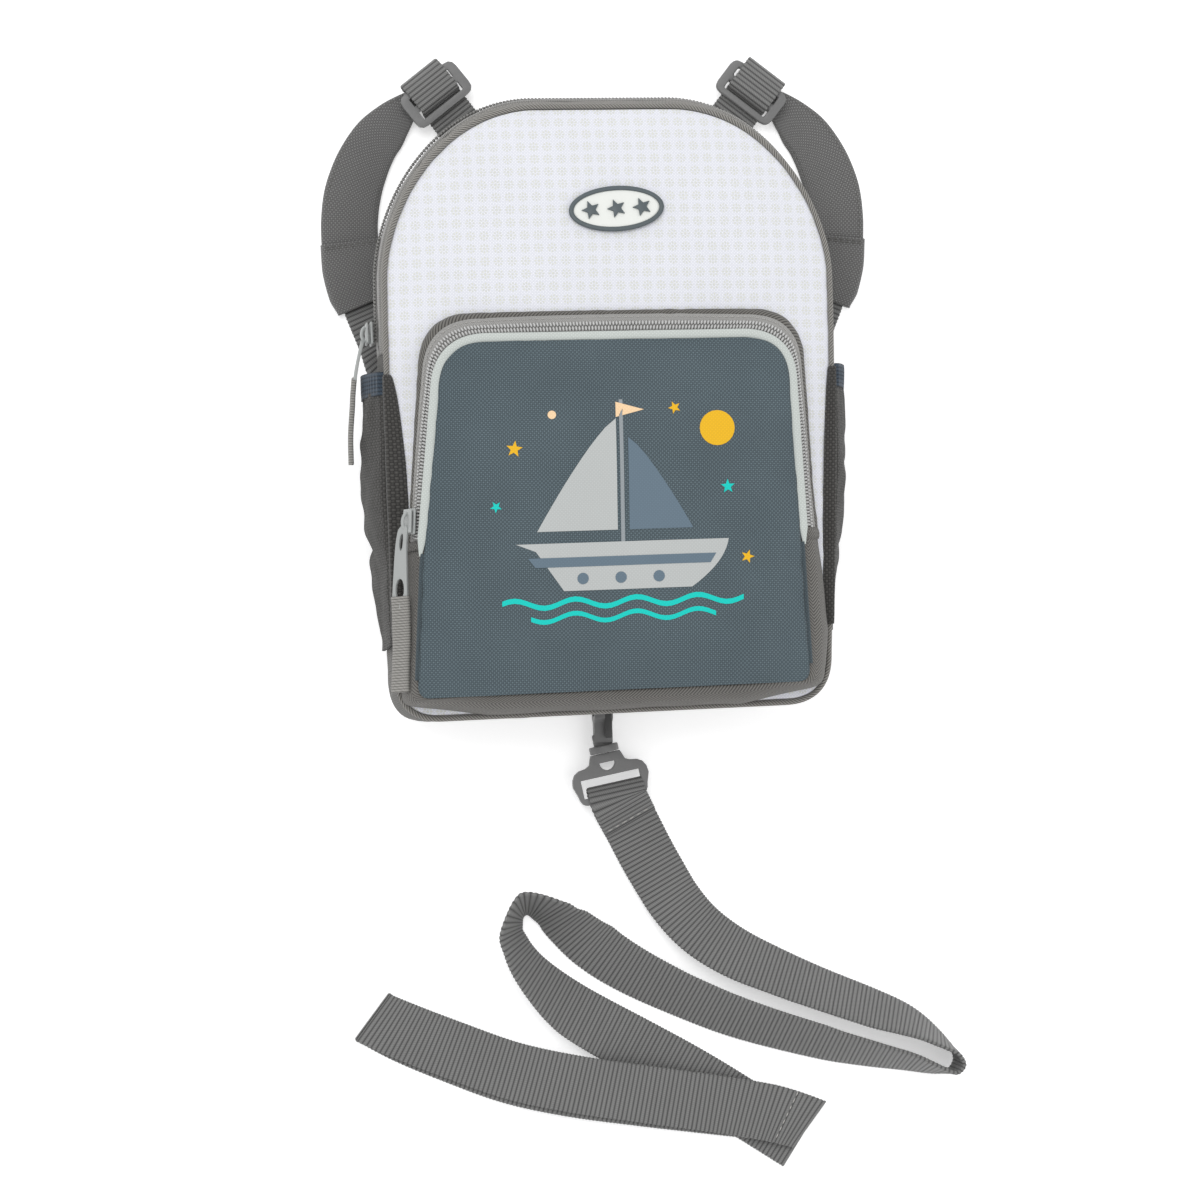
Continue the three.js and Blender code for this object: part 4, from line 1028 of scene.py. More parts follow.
    def hard_copy(self, node: str, bevel: float, segments: int = 3, angle: float = 30.0) -> bmesh.types.BMesh:
        """Copy of a hard CAD node with joined faces and rounded edges.

        Args:
            node: Name of the CAD node.
            bevel: Width of the rounding in millimetres.
            segments: Segments of the rounding.
            angle: Edges sharper than this are rounded, in degrees.

        Returns:
            The mesh, in metres.
        """
        bm = bmesh.new()
        bm.from_mesh(self.frame["nodes"][node].data)
        bmesh.ops.remove_doubles(bm, verts=bm.verts[:], dist=2e-6)
        bmesh.ops.dissolve_limit(bm, angle_limit=math.radians(1.5), verts=bm.verts[:], edges=bm.edges[:])
        edges = [e for e in bm.edges if len(e.link_faces) == 2 and e.calc_face_angle(0) > math.radians(angle)]
        round_edges(bm, bevel * MM, segments, edges)
        return bm


def carried_frames(points: Sequence[Vector], closed: bool) -> list[tuple[Vector, Vector]]:
    """Side and up directions that are carried along a path with little twist.

    Args:
        points: The path.
        closed: True if it closes on itself.

    Returns:
        One pair of unit vectors for each point.
    """
    made = []
    side = None
    for i, p in enumerate(points):
        before = points[i - 1] if i > 0 else (points[-2] if closed else p)
        after = points[i + 1] if i + 1 < len(points) else (points[1] if closed else p)
        along = (after - before).normalized()
        if side is None:
            axis = Vector((0, 0, 1)) if abs(along.z) < 0.9 else Vector((1, 0, 0))
            side = along.cross(axis)
        side = (side - along * side.dot(along)).normalized()
        made.append((side, side.cross(along).normalized()))
    if closed:
        made[-1] = made[0]
    return made


def smooth_line(points: Sequence[Vector], count: int) -> list[Vector]:
    """Even points on a smooth curve through given points.

    Args:
        points: Points that the curve passes.
        count: Number of steps.

    Returns:
        The points, evenly spread by length.
    """
    fine = []
    last = len(points) - 1
    for i in range(last):
        a, b = points[max(i - 1, 0)], points[i]
        c, d = points[i + 1], points[min(i + 2, last)]
        for s in steps(0, 1, 24)[:-1]:
            bend, twist = 2 * a - 5 * b + 4 * c - d, 3 * b - a - 3 * c + d
            fine.append(0.5 * ((2 * b) + (c - a) * s + bend * s * s + twist * s * s * s))
    fine.append(points[-1].copy())
    lengths = run_lengths(fine)
    return [along_section(fine, lengths, d) for d in steps(0, lengths[-1], count)]


def hard(
    name: str, slot: str, colour: tuple[float, float, float], depth: float, roughness: float, **more: Any
) -> Finish:
    """Finish of a smooth piece, with no cloth sheen unless it is given.

    Args:
        name: Name of the material.
        slot: The record's material slot.
        colour: Linear base colour.
        depth: Depth of its fine unevenness in millimetres.
        roughness: Surface roughness.
        more: Other fields of the finish.

    Returns:
        The finish.
    """
    settings = {"sheen": 0.0, **more}
    return Finish(name, slot, colour, colour, Weave.SMOOTH, depth=depth, roughness=roughness, **settings)


PLAIN, HERRINGBONE, RIBBED = Weave.PLAIN, Weave.HERRINGBONE, Weave.RIBBED
WHITE = Finish(
    "white_dotted_cloth", "white_cloth", (0.86, 0.865, 0.9), (0.58, 0.6, 0.68), PLAIN, 0.68, 0.09,
    mapped=False, dotted=True, tone=0.08,
)
SLATE = Finish(
    "slate_cloth", "slate_cloth", (0.13, 0.175, 0.198), (0.013, 0.021, 0.027), PLAIN, 0.84, 0.2,
    mapped=False, tone=0.5,
)
GREY = Finish("grey_cloth", "grey_cloth", (0.185, 0.18, 0.168), (0.014, 0.014, 0.013), PLAIN, 0.9, 0.2, tone=0.4)
DARK_GREY = Finish(
    "dark_grey_cloth", "grey_cloth", (0.082, 0.079, 0.074), (0.003, 0.003, 0.003), PLAIN, 1.15, 0.45, tone=0.5
)
BINDING = Finish(
    "grey_herringbone", "grey_cloth", (0.31, 0.3, 0.28), (0.034, 0.032, 0.029), HERRINGBONE, 1.45, 0.25
)
# Darker copy of the herringbone for the pocket's walls: partly the tape's own darker grey, partly painted shade of
# the walls beside the pocket.
POCKET_BINDING = Finish(
    "dark_grey_herringbone_painted_shade", "grey_cloth", (0.175, 0.168, 0.155), (0.018, 0.017, 0.015), HERRINGBONE, 1.45, 0.25
)
SPACER = Finish(
    "grey_spacer_mesh", "grey_cloth", (0.17, 0.166, 0.16), (0.03, 0.03, 0.03), Weave.MESH, 2.4, 0.5, mapped=False
)
ZIP_TAPE = Finish("grey_zip_tape", "grey_cloth", (0.4, 0.395, 0.385), (0.17, 0.167, 0.16), HERRINGBONE, 0.8, 0.14)
WEBBING = Finish("grey_webbing", "grey_webbing", (0.235, 0.235, 0.232), (0.02, 0.02, 0.02), RIBBED, 1.95, 0.3)
PULL_TAPE = Finish("grey_pull_tape", "grey_webbing", (0.36, 0.35, 0.33), (0.07, 0.068, 0.063), RIBBED, 1.15, 0.25)
STRAP = Finish(
    "grey_strap_weave", "grey_webbing", (0.23, 0.228, 0.225), (0.035, 0.035, 0.035), PLAIN, 0.85, 0.22, tone=0.3
)
ELASTIC = Finish(
    "navy_elastic", "navy_elastic", (0.05, 0.072, 0.1), (0.008, 0.013, 0.021), RIBBED, 1.7, 0.4, turned=90
)
PIPING = Finish("pale_piping", "pale_piping", (0.6, 0.64, 0.615), (0.42, 0.45, 0.43), PLAIN, 0.8, 0.08, tone=0.12)
# Darker than the slate cloth: painted shadow along the pocket's lower seam, below the piping.
EDGE_CORD_AND_SHADE = Finish("slate_edge_cord_painted_shade", "slate_cloth", (0.07, 0.095, 0.11), (0.02, 0.03, 0.035), PLAIN, 0.8, 0.1)
COIL = hard("zip_coil", "zip_coil", (0.52, 0.52, 0.515), 0.02, 0.42)
DARK_COIL = hard("dark_zip_coil", "zip_coil", (0.2, 0.197, 0.19), 0.02, 0.5)
PULLER = hard("zip_puller", "zip_metal", (0.37, 0.385, 0.38), 0.03, 0.42)
PLASTIC = hard("grey_plastic", "grey_plastic", (0.165, 0.165, 0.165), 0.04, 0.48)
# Used only for the hook's gate, where its darkness also paints the shade of the recess in the hook's stem.
DARK_PLASTIC = hard("dark_plastic_painted_shade", "grey_plastic", (0.055, 0.055, 0.055), 0.04, 0.6)
BADGE_RIM = hard("badge_rim_rubber", "badge_trim", (0.08, 0.1, 0.11), 0.03, 0.55)
BADGE_FACE = hard("badge_face_rubber", "white_cloth", (0.77, 0.785, 0.755), 0.02, 0.5, tone=0.05)
THREAD = hard("grey_thread", "grey_webbing", (0.12, 0.118, 0.11), 0.05, 0.75, sheen=0.05)
PALE_THREAD = hard("pale_thread", "grey_webbing", (0.45, 0.44, 0.42), 0.05, 0.7, sheen=0.1)


def print_finish(name: str, colour: tuple[float, float, float]) -> Finish:
    """Finish of one printed colour on the pocket."""
    dark = tuple(part * 0.82 for part in colour)
    return Finish(
        name, "slate_cloth", colour, dark, PLAIN, 0.78, 0.05, mapped=False, roughness=0.6, sheen=0.0, tone=0.06
    )


def down(low: float, high: float) -> Distances:
    """Distances down a wall between two fixed ones."""
    return lambda _, t: mix(low, high, t)


def to_foot(low: float, past: float = 0.0) -> Distances:
    """Distances down a wall from a fixed one to its foot, or a little past it."""
    return lambda full, t: mix(low, full + past, t)


class Stitches:
    """Rows of single stitches, gathered into one piece."""

    def __init__(self, kit: Kit, name: str, finish: Finish, thick: float = 0.42) -> None:
        """Starts an empty row."""
        self.kit, self.name, self.finish, self.thick = kit, name, finish, thick
        self.places: list[Matrix] = []

    def stitch(self, start: Vector, end: Vector) -> None:
        """Adds one stitch between two points in millimetres."""
        middle, way = (start + end) / 2, end - start
        turn = way.to_track_quat("X", "Z").to_matrix().to_4x4()
        shape = Matrix.Diagonal((way.length / 2, self.thick / 2, self.thick / 2, 1))
        self.places.append(Matrix.Translation(middle) @ turn @ shape)

    def row(self, path: Sequence[Vector], length: float = 2.2, space: float = 0.8, wander: float = 0.0) -> None:
        """Adds stitches along a path.

        Args:
            path: Points in millimetres.
            length: Length of one stitch.
            space: Space between two stitches.
            wander: How far stitches stray, for an uneven row.
        """
        lengths = run_lengths(path)
        at = space
        number = 0
        while at + length < lengths[-1]:
            stray = Vector((ripple(number, 1, 1.7), ripple(number, 2, 1.7), 0)) * wander
            start, end = along_section(path, lengths, at), along_section(path, lengths, at + length)
            self.stitch(start + stray, end - stray)
            at += length + space
            number += 1

    def done(self) -> bpy.types.Object:
        """Makes the piece."""
        return self.kit.piece(self.name, self.kit.many(self.places, 6, 5), self.finish)


@dataclass
class WalledPart:
    """Cloth patches and zip teeth on the wall of the bag or of its pocket.

    Attributes:
        kit: Mesh maker.
        form: Surfaces of the bag or of the pocket.
    """

    kit: Kit
    form: Any

    def patch(
        self,
        name: str,
        nodes: Sequence[str],
        turns: tuple[float, float],
        distances: Distances,
        cells: tuple[int, int],
        width: float,
        finish: Finish,
        lift: Lift | None = None,
    ) -> None:
        """Builds one cloth patch of the wall.

        Args:
            name: Name of the piece.
            nodes: CAD nodes it replaces.
            turns: First and last turn.
            distances: Distance down the section, from the section's length and a share.
            cells: Cells along and across.
            width: Width for the map.
            finish: The cloth.
            lift: Folds, as height off the surface.
        """
        form = self.form

        def place(s: float, t: float) -> Vector:
            turn = mix(turns[0], turns[1], s)
            return form.settle(form.wall(turn, distances(form.wall_length(turn), t)))

        length = abs(turns[1] - turns[0]) * form.path.length
        bm = self.kit.grid(*cells, place, (length, width), outward=form.outward, lift=lift)
        self.kit.piece(name, bm, finish, nodes, thickness=1.2)

    def coil(
        self,
        name: str,
        node: str,
        turns: tuple[float, float],
        place: Callable[[float, float, float], Vector],
        pitch: float,
        half: float,
        finish: Finish,
    ) -> None:
        """Builds two rows of coil teeth that meet in the middle.

        Args:
            name: Name of the piece.
            node: CAD node it replaces.
            turns: First and last turn.
            place: Point from turn, offset across and lift.
            pitch: Distance between two teeth.
            half: Half of the coil's width.
            finish: Finish of the teeth.
        """
        places = []
        count = int(run_lengths([place(turn, 0, 0) for turn in steps(*turns, 200)])[-1] / pitch)
        for k in range(count):
            for side in (-1, 1):
                turn = mix(turns[0], turns[1], (k + (0.25 if side > 0 else 0.75)) / count)
                inner, outer = place(turn, side * 0.1, 1.15), place(turn, side * half, 0.55)
                way = outer - inner
                places.append(
                    Matrix.Translation((inner + outer) / 2)
                    @ way.to_track_quat("X", "Z").to_matrix().to_4x4()
                    @ Matrix.Diagonal((way.length * 0.56, pitch * 0.35, 0.62, 1))
                )
        self.kit.piece(name, self.kit.many(places), finish, [node])


class BagBody(WalledPart):
    """Front panel, back panel, gusset, binding and main zip."""

    form: BagForm

    def panel_wrinkle(self, x: float, y: float, half: float) -> float:
        """Small puckers of the front panel, strongest beside its seam."""
        edge = half - abs(x)
        end = self.form.height / 2 - abs(y)
        near = math.exp(-max(min(edge, end), 0) / 9)
        pucker = 0.45 * near * ripple(x * 0.4, y, 7.5, 3) + 0.3 * near * ripple(x, y, 16, 9)
        return pucker + 0.9 * ripple(x, y, 46, 5) * (1 - near) + 0.25 * ripple(x, y, 17, 1)

    def front(self) -> None:
        """Builds the white front panel, whose edge rolls into the seam."""
        form = self.form
        past_seam, roll_depth = 0.9, 1.1

        def place(s: float, t: float) -> Vector:
            edge = form.inset(form.path.at(mix(*form.sides, t)), form.front_inset)
            x, y = (2 * s - 1) * (edge[0] + past_seam), edge[1]
            z = form.panel_top(x, y, edge[0]) + self.panel_wrinkle(x, y, edge[0])
            roll = clamp((abs(2 * s - 1) - 0.975) / 0.025)
            end = clamp((0.02 - t) / 0.02) + clamp((t - 0.985) / 0.015)
            return form.settle(Vector((x, y, z - roll_depth * max(roll, end) ** 2)))

        bm = self.kit.grid(138, 156, place, (form.width, form.height), outward=lambda p: Vector((0, 0, 1)))
        self.kit.piece("front_panel_cloth", bm, WHITE, ["main_front_panel"], thickness=1.3)

    def back(self) -> None:
        """Builds the padded back panel of spacer mesh with sewn channels."""
        form = self.form
        side_channel, cross_channels = 30, (10, -60)

        def place(s: float, t: float) -> Vector:
            edge = form.inset(form.path.at(mix(*form.sides, t)), form.back_inset)
            x, y = (2 * s - 1) * edge[0], edge[1]
            far = [abs(x) - side_channel, *(y - at for at in cross_channels)]
            channel = sum(math.exp(-(away**2) / 5) for away in far)
            rim = clamp(1 - min(edge[0] - abs(x), form.height / 2 - 16 - abs(y)) / 3)
            return form.settle(Vector((x, y, 0.9 * min(channel, 1) + 0.8 * rim * rim)))

        bm = self.kit.grid(110, 120, place, (form.width, form.height), outward=lambda p: Vector((0, 0, -1)))
        self.kit.piece("back_panel_mesh", bm, SPACER, ["back_panel"], thickness=1.4)
        ring = []
        for turn in steps(-1, 1, 300)[:-1]:
            edge = form.inset(form.path.mirrored(turn), form.back_inset)
            ring.append(form.settle(Vector((edge[0], edge[1], 1.6))))
        self.kit.piece("back_edge_binding", self.kit.tube(ring, 1.5, 10, closed=True), BINDING)

    def binding(self) -> None:
        """Builds the narrow binding on the front seam."""
        form = self.form
        nearby = (-0.003, 0, 0.003)
        ring = []
        for turn in steps(-1, 1, 420)[:-1]:
            before, at, after = (form.inset(form.path.mirrored(turn + by), form.front_inset) for by in nearby)
            seam = Vector((at[0], at[1], form.seam_at(at[1]) + form.cloth * 0.35))
            ring.append(form.settle(seam + step_out(before, after, 2.2 * GAP + 0.9)))
        self.kit.piece("front_seam_binding", self.kit.tube(ring, 1.25, 10, closed=True), BINDING, ["front_binding"])

    def arch(self) -> None:
        """Builds the strips and the zip tape round the arch."""
        form = self.form
        arch = (form.zip_turn - 0.004, 2 - form.zip_turn + 0.004)
        start, end = form.strip + GAP, form.strip + GAP + form.tape
        length = (arch[1] - arch[0]) * form.path.length

        def folds(s: float, t: float) -> float:
            bend = bump_at(s, 0.3, 0.09) + bump_at(s, 0.7, 0.09)
            fine = bend * 0.55 * ripple(s * length, t * 5, 4.5, 2)
            return fine + 0.35 * ripple(s * length, t * 9, 14, 4) + 0.5 * math.sin(math.pi * t) ** 0.7

        def tape(s: float, t: float) -> float:
            flap = 0.9 * (clamp((0.12 - t) / 0.05) + clamp((t - 0.88) / 0.05))
            seam = -0.25 * (bump_at(t, 0.3, 0.02) + bump_at(t, 0.7, 0.02))
            return flap + seam + 0.2 * ripple(s * length, t * 20, 12, 7)

        def back(s: float, t: float) -> float:
            slow = 0.7 * ripple(s * length, t * 14, 13, 12) * math.sin(math.pi * t)
            return slow + 0.35 * ripple(s * length, t * 14, 5, 15)

        for name, node, distances, cells, width, finish, lift in (
            ("front_strip_cloth", "gusset_front_strip", down(-0.8, start + 0.6), (520, 10), 10.5, BINDING, folds),
            ("main_zip_tape_cloth", "main_zip_tape", down(start - 0.4, end + 0.4), (420, 40), 22.8, ZIP_TAPE, tape),
            ("back_strip_cloth", "gusset_back_strip", to_foot(end - 0.3), (360, 22), 22, GREY, back),
        ):
            self.patch(name, [node], arch, distances, cells, width, finish, lift)

    def zip_coil(self) -> None:
        """Builds the coil of the main zip and the stitches beside it."""
        form = self.form
        middle = form.strip + GAP + form.tape / 2
        shifts = ((0, 0), (0, 1), (0.003, 0))

        def place(turn: float, across: float, lift: float) -> Vector:
            p, a, b = (form.settle(form.wall(turn + ahead, middle + across + below)) for ahead, below in shifts)
            normal = (a - p).cross(b - p).normalized()
            if normal.dot(form.outward(p)) < 0:
                normal.negate()
            return p + normal * lift

        turns = (form.zip_turn + 0.01, 2 - form.zip_turn - 0.01)
        self.coil("main_zip_teeth", "main_zip_coil", turns, place, 1.55, 2.1, DARK_COIL)
        rows = Stitches(self.kit, "main_zip_stitches", THREAD)
        for across in (-6.5, 6.5):
            rows.row([place(turn, across, 0.1) for turn in steps(form.zip_turn, 2 - form.zip_turn, 300)], 2.4, 0.9)
        rows.done()

    def lower_wall(self) -> None:
        """Builds the side and base gussets."""

        def soft(size: tuple[float, float], slow: tuple[float, float], fine: float, seed: float) -> Lift:
            def lift(s: float, t: float) -> float:
                x, y = s * size[0], t * size[1]
                folds = slow[0] * ripple(x, y, slow[1], seed) * math.sin(math.pi * t)
                return folds + fine * ripple(x, y, 8, seed + 3)

            return lift

        low, high, base = self.form.base_turn - 0.004, self.form.zip_turn + 0.006, self.form.base_turn
        for name, node, turns, cells, lift in (
            (
                "side_gusset_cloth_right", "side_gusset_right", (low, high), (90, 60),
                soft((95, 70), (1.0, 24), 0.4, 21),
            ),
            (
                "side_gusset_cloth_left", "side_gusset_left", (2 - low, 2 - high), (90, 60),
                soft((95, 70), (1.0, 24), 0.4, 33),
            ),
            ("base_gusset_cloth", "base_gusset", (-base, base), (190, 56), soft((210, 60), (0.8, 26), 0.35, 51)),
        ):
            self.patch(name, [node], turns, to_foot(-0.8), cells, 78, GREY, lift)

    def build(self) -> None:
        """Builds all of the bag's body."""
        self.front()
        self.back()
        self.binding()
        self.arch()
        self.zip_coil()
        self.lower_wall()


@dataclass
class ZipPull:
    """Slider, puller and sewn pull tape of one zip."""

    kit: Kit
    prefix: str

    def slider(
        self, node: str, place: Vector, along: Vector, across: Vector, up: Vector, length: float, width: float
    ) -> None:
        """Builds a slider body with its raised bridge.

        Args:
            node: CAD node it replaces.
            place: Middle of its foot.
            along: Direction of travel.
            across: Direction across the tape.
            up: Direction off the tape.
            length: Length of the body.
            width: Width of the body.
        """
        bm = bmesh.new()
        basis = Matrix((along, across, up)).transposed().to_4x4()
        frame = Matrix.Scale(MM, 4) @ Matrix.Translation(place) @ basis
        for middle, size in (
            ((0, 0, 0.2), (length * 1.0, width, 1.1)),
            ((0, 0, 2.1), (length * 0.92, width, 1.0)),
            ((-length * 0.28, 0, 1.1), (length * 0.3, width * 0.26, 2.0)),
        ):
            bmesh.ops.create_cube(bm, size=1.0, matrix=Matrix.Translation(middle) @ Matrix.Diagonal((*size, 1)))
        for v in bm.verts:
            if v.co.x > 0 and abs(v.co.y) > width * 0.3:
                v.co.y *= 0.8
        round_edges(bm, 0.4, 3)
        arch = [(mix(-0.36, 0.3, s), 2.7 + 1.6 * math.sin(math.pi * s) ** 0.6) for s in steps(0, 1, 14)]
        bridge = self.kit.tube([Vector((length * at, 0, high)) for at, high in arch], 0.75, 8)
        bridge_mesh = bpy.data.meshes.new("bridge")
        bmesh.ops.scale(bridge, vec=(1 / MM,) * 3, verts=bridge.verts[:])
        bridge.to_mesh(bridge_mesh)
        bridge.free()
        bm.from_mesh(bridge_mesh)
        bpy.data.meshes.remove(bridge_mesh)
        bmesh.ops.transform(bm, matrix=frame, verts=bm.verts[:])
        bmesh.ops.recalc_face_normals(bm, faces=bm.faces[:])
        self.kit.piece(self.prefix + "_slider_body", bm, PULLER, [node], sharp=40)

    def puller(self, node: str, path: Sequence[Vector], side: Vector, widths: Sequence[float], thick: float) -> None:
        """Builds a flat puller with a small and a large hole along a path.

        Args:
            node: CAD node it replaces.
            path: Middle line of the puller.
            side: Direction of its width.
            widths: Widths at the path's points.
            thick: Thickness.
        """
        line = smooth_line(path, 40)
        start, end = line[0], line[-1]
        bm = bmesh.new()
        bmesh.ops.create_grid(bm, x_segments=44, y_segments=14, size=0.5)
        # Place along, half length and half width of each hole, as shares of the puller's own.
        holes = [(0.2, 0.1, 0.34), (0.77, 0.13, 0.56)]
        gone = []
        for face in bm.faces:
            c = face.calc_center_median()
            s, t = c.x + 0.5, 2 * c.y
            for at, reach, wide in holes:
                if ((s - at) / reach) ** 2 + (t / wide) ** 2 < 1:
                    gone.append(face)
        bmesh.ops.delete(bm, geom=gone, context="FACES")
        for v in bm.verts:
            s, t = v.co.x + 0.5, 2 * v.co.y
            for at, reach, wide in holes:
                far = math.hypot((s - at) / reach, t / wide)
                if 0.75 < far < 1.35 and v.is_boundary and abs(t) < 0.95 and 0.02 < s < 0.98:
                    s, t = at + (s - at) / far, t / far
            tip, heel = 1 - 0.75 * max(0, (s - 0.93) / 0.07) ** 2, 1 - 0.5 * max(0, (0.06 - s) / 0.06) ** 2
            width = mix(widths[0], widths[-1], s) * tip * heel
            p = line[min(int(round(s * 40)), 40)].lerp(start.lerp(end, s), 0.5)
            v.co = p + side * (t * width / 2)
        rim = [v for v in bm.verts if v.is_boundary]
        bmesh.ops.smooth_vert(bm, verts=rim, factor=0.4, use_axis_x=True, use_axis_y=True, use_axis_z=True)
        bmesh.ops.scale(bm, vec=(MM, MM, MM), verts=bm.verts[:])
        bm.normal_update()
        made = self.kit.piece(self.prefix + "_puller_plate", bm, PULLER, [node])
        wall = made.modifiers.new("wall", "SOLIDIFY")
        wall.thickness, wall.offset = thick * MM, 0.0
        round_edges = made.modifiers.new("rounding", "BEVEL")
        round_edges.width, round_edges.segments, round_edges.limit_method = 0.35 * MM, 2, "ANGLE"

    def tape(
        self, node: str, path: Sequence[Vector], side: Vector, widths: Sequence[float], thick: float, name: str
    ) -> None:
        """Builds a folded pull tape along a path.

        Args:
            node: CAD node it replaces.
            path: Middle line.
            side: Direction of its width.
            widths: Widths at the path's points.
            thick: Thickness of the folded tape.
            name: Name of the piece.
        """
        count = 90
        line = smooth_line(path, count)

        def place(s: float, t: float) -> Vector:
            at = min(round(s * count), count)
            p = line[at]
            along = (line[min(at + 1, count)] - line[max(at - 1, 0)]).normalized()
            k = s * (len(widths) - 1)
            i = min(int(k), len(widths) - 2)
            width = mix(widths[i], widths[i + 1], k - i)
            up = along.cross(side).normalized()
            a = 2 * math.pi * t
            cx, cy = math.cos(a), math.sin(a)
            x = math.copysign(abs(cx) ** 0.45, cx) * width / 2
            y = math.copysign(abs(cy) ** 0.6, cy) * thick / 2
            groove = 1 - 0.28 * math.exp(-((x / (width * 0.12)) ** 2))
            return p + side * x + up * (y * groove) + side * (0.25 * ripple(s * 60, 3, 7, 8))

        bm = self.kit.grid(count, 28, place, (run_lengths(line)[-1], 2 * widths[0]), closed=True)
        self.kit.close(bm)
        self.kit.piece(name, bm, PULL_TAPE, [node])


class FrontPocket(WalledPart):
    """Pocket panel with its print, piping, zip and walls."""

    form: PocketForm

    def wrinkle(self, x: float, y: float) -> float:
        """Puckers of the pocket's cloth, strongest beside the piping."""
        form = self.form
        up = (y - form.middle) / form.half_height
        half = mix(form.base_half, form.top_half, (up + 1) / 2)
        edge = min(half - abs(x), form.half_height * (1 - abs(up)))
        near = math.exp(-max(edge, 0) / 8)
        corner = math.exp(-((x + half) ** 2 + (y - form.middle - form.half_height) ** 2) / 900)
        slope = 0.6 * corner * math.sin((x * 0.6 + y) / 3.1)
        seam = 0.55 * near * ripple(x, y, 7, 61)
        return seam + 0.7 * ripple(x, y, 38, 63) + 0.28 * ripple(x, y, 14, 66) + slope * 0.5

    def face(self, x: float, y: float) -> float:
        """Height of the dressed pocket front."""
        return self.form.top_at(x, y) + self.wrinkle(x, y)

    def panel(self) -> None:
        """Builds the slate front of the pocket."""
        form = self.form

        def place(s: float, t: float) -> Vector:
            turn = mix(*form.sides, t)
            right, left = form.outline(turn, 0), form.outline(2 - turn, 0)
            x, y = mix(left[0] - GAP, right[0] + GAP, s), right[1]
            return form.settle(Vector((x, y, self.face(x, y))))

        bm = self.kit.grid(124, 124, place, (160, 148), outward=lambda p: Vector((0, 0, 1)))
        self.kit.piece("pocket_panel_cloth", bm, SLATE, ["pocket_front_panel"], thickness=1.3)

    def piping(self) -> None:
        """Builds the pale piping round the arch of the pocket, and below it a thin seam edge darker than the slate
        cloth, whose darkness paints the shadow along the pocket's lower seam.
        """
        form = self.form
        end = form.share_at(form.middle - form.half_height + 1.5 * form.base_corner)
        zip_end = form.share_at(form.zip_end - 6)

        def run(turns: Sequence[float], reach: float) -> list[Vector]:
            path = []
            for turn in turns:
                before, p, after = (form.outline(turn + by, 0) for by in (-0.003, 0, 0.003))
                seam = Vector((p[0], p[1], form.seam_at(p[1]) + form.bag.cloth * 0.6))
                path.append(form.settle(seam + step_out(before, after, reach)))
            return path

        full = form.piping * 1.6
        arch = run(steps(zip_end, 2 - zip_end, 360), 1.8)
        cord = self.kit.tube(arch, lambda s: full * min(1.0, 0.3 + 30 * min(s, 1 - s)), 14, flat=0.7)
        self.kit.piece("pocket_piping_cord", cord, PIPING, ["pocket_piping"])
        right, left = steps(end, zip_end + 0.004, 60), steps(2 - zip_end - 0.004, 2 - end, 60)
        for side, turns in (("right", right), ("left", left)):
            cord = self.kit.tube(run(turns, 1.0), form.piping * 0.8, 10)
            self.kit.piece(f"pocket_edge_cord_{side}", cord, EDGE_CORD_AND_SHADE, ["pocket_piping"])

    def at(self, turn: float, distance: float, lift: float = 0.0) -> Vector:
        """Settled point off the pocket's wall."""
        form = self.form
        p = form.wall(turn, distance)
        normal = (form.wall(turn, distance + 0.5) - p).cross(form.wall(turn + 0.003, distance) - p).normalized()
        if normal.dot(form.outward(p)) < 0:
            normal.negate()
        return form.settle(p + normal * lift)

    def walls(self) -> None:
        """Builds the zip tape, its border and the plain wall."""
        form = self.form
        end = form.share_at(form.zip_end)
        arch = (end - 0.003, 2 - end + 0.003)
        start = form.piping
        stop = start + form.tape

        def tape(_: float, t: float) -> float:
            seams = bump_at(t, 0.14, 0.05) + bump_at(t, 0.86, 0.05)
            return -0.25 * seams + 0.25 * abs(math.cos(math.pi * t)) ** 3

        def border(s: float, t: float) -> float:
            return 0.9 * math.sin(math.pi * clamp(t * 1.1)) ** 0.8 + 0.25 * ripple(s * 400, t, 6, 71)

        def plain(s: float, t: float) -> float:
            return 0.5 * ripple(s * 280, t * 16, 18, 75) + 0.35 * math.sin(math.pi * t)

        def folded_end(s: float, _: float) -> float:
            return 1.25 * math.sin(math.pi * clamp(s)) ** 0.35 + 0.2

        for name, node, turns, distances, cells, width, finish, lift in (
            (
                "pocket_zip_tape_cloth", "pocket_zip_tape", arch, down(start - 0.9, stop + 0.5),
                (420, 26), 12, ZIP_TAPE, tape,
            ),
            (
                "pocket_border_cloth", "pocket_zip_border", arch, to_foot(stop + 0.1, 0.7),
                (420, 8), 5, POCKET_BINDING, border,
            ),
            (
                "pocket_wall_cloth", "pocket_gusset", (0.003 - end, end - 0.003), to_foot(start - 0.9, 0.7),
                (240, 20), 18, POCKET_BINDING, plain,
            ),
        ):
            self.patch(name, [node], turns, distances, cells, width, finish, lift)
        self.coil(
            "pocket_zip_teeth", "pocket_zip_coil", (end + 0.006, 2 - end - 0.006),
            lambda turn, across, lift: self.at(turn, start + form.tape * 0.46 + across, lift), 1.4, 2.2, COIL,
        )
        for side, turns in (("right", (end - 0.011, end + 0.007)), ("left", (2 - end - 0.004, 2 - end + 0.011))):
            name, distances = f"pocket_zip_end_{side}", down(start - GAP, stop + 2.2)
            self.patch(name, ["pocket_zip_tape"], turns, distances, (10, 24), 14, POCKET_BINDING, folded_end)
        rows = Stitches(self.kit, "pocket_zip_stitches", PALE_THREAD, 0.36)
        rows.row([self.at(turn, stop - 1.2, 0.2) for turn in steps(end, 2 - end, 300)], 2.0, 0.7)
        rows.done()

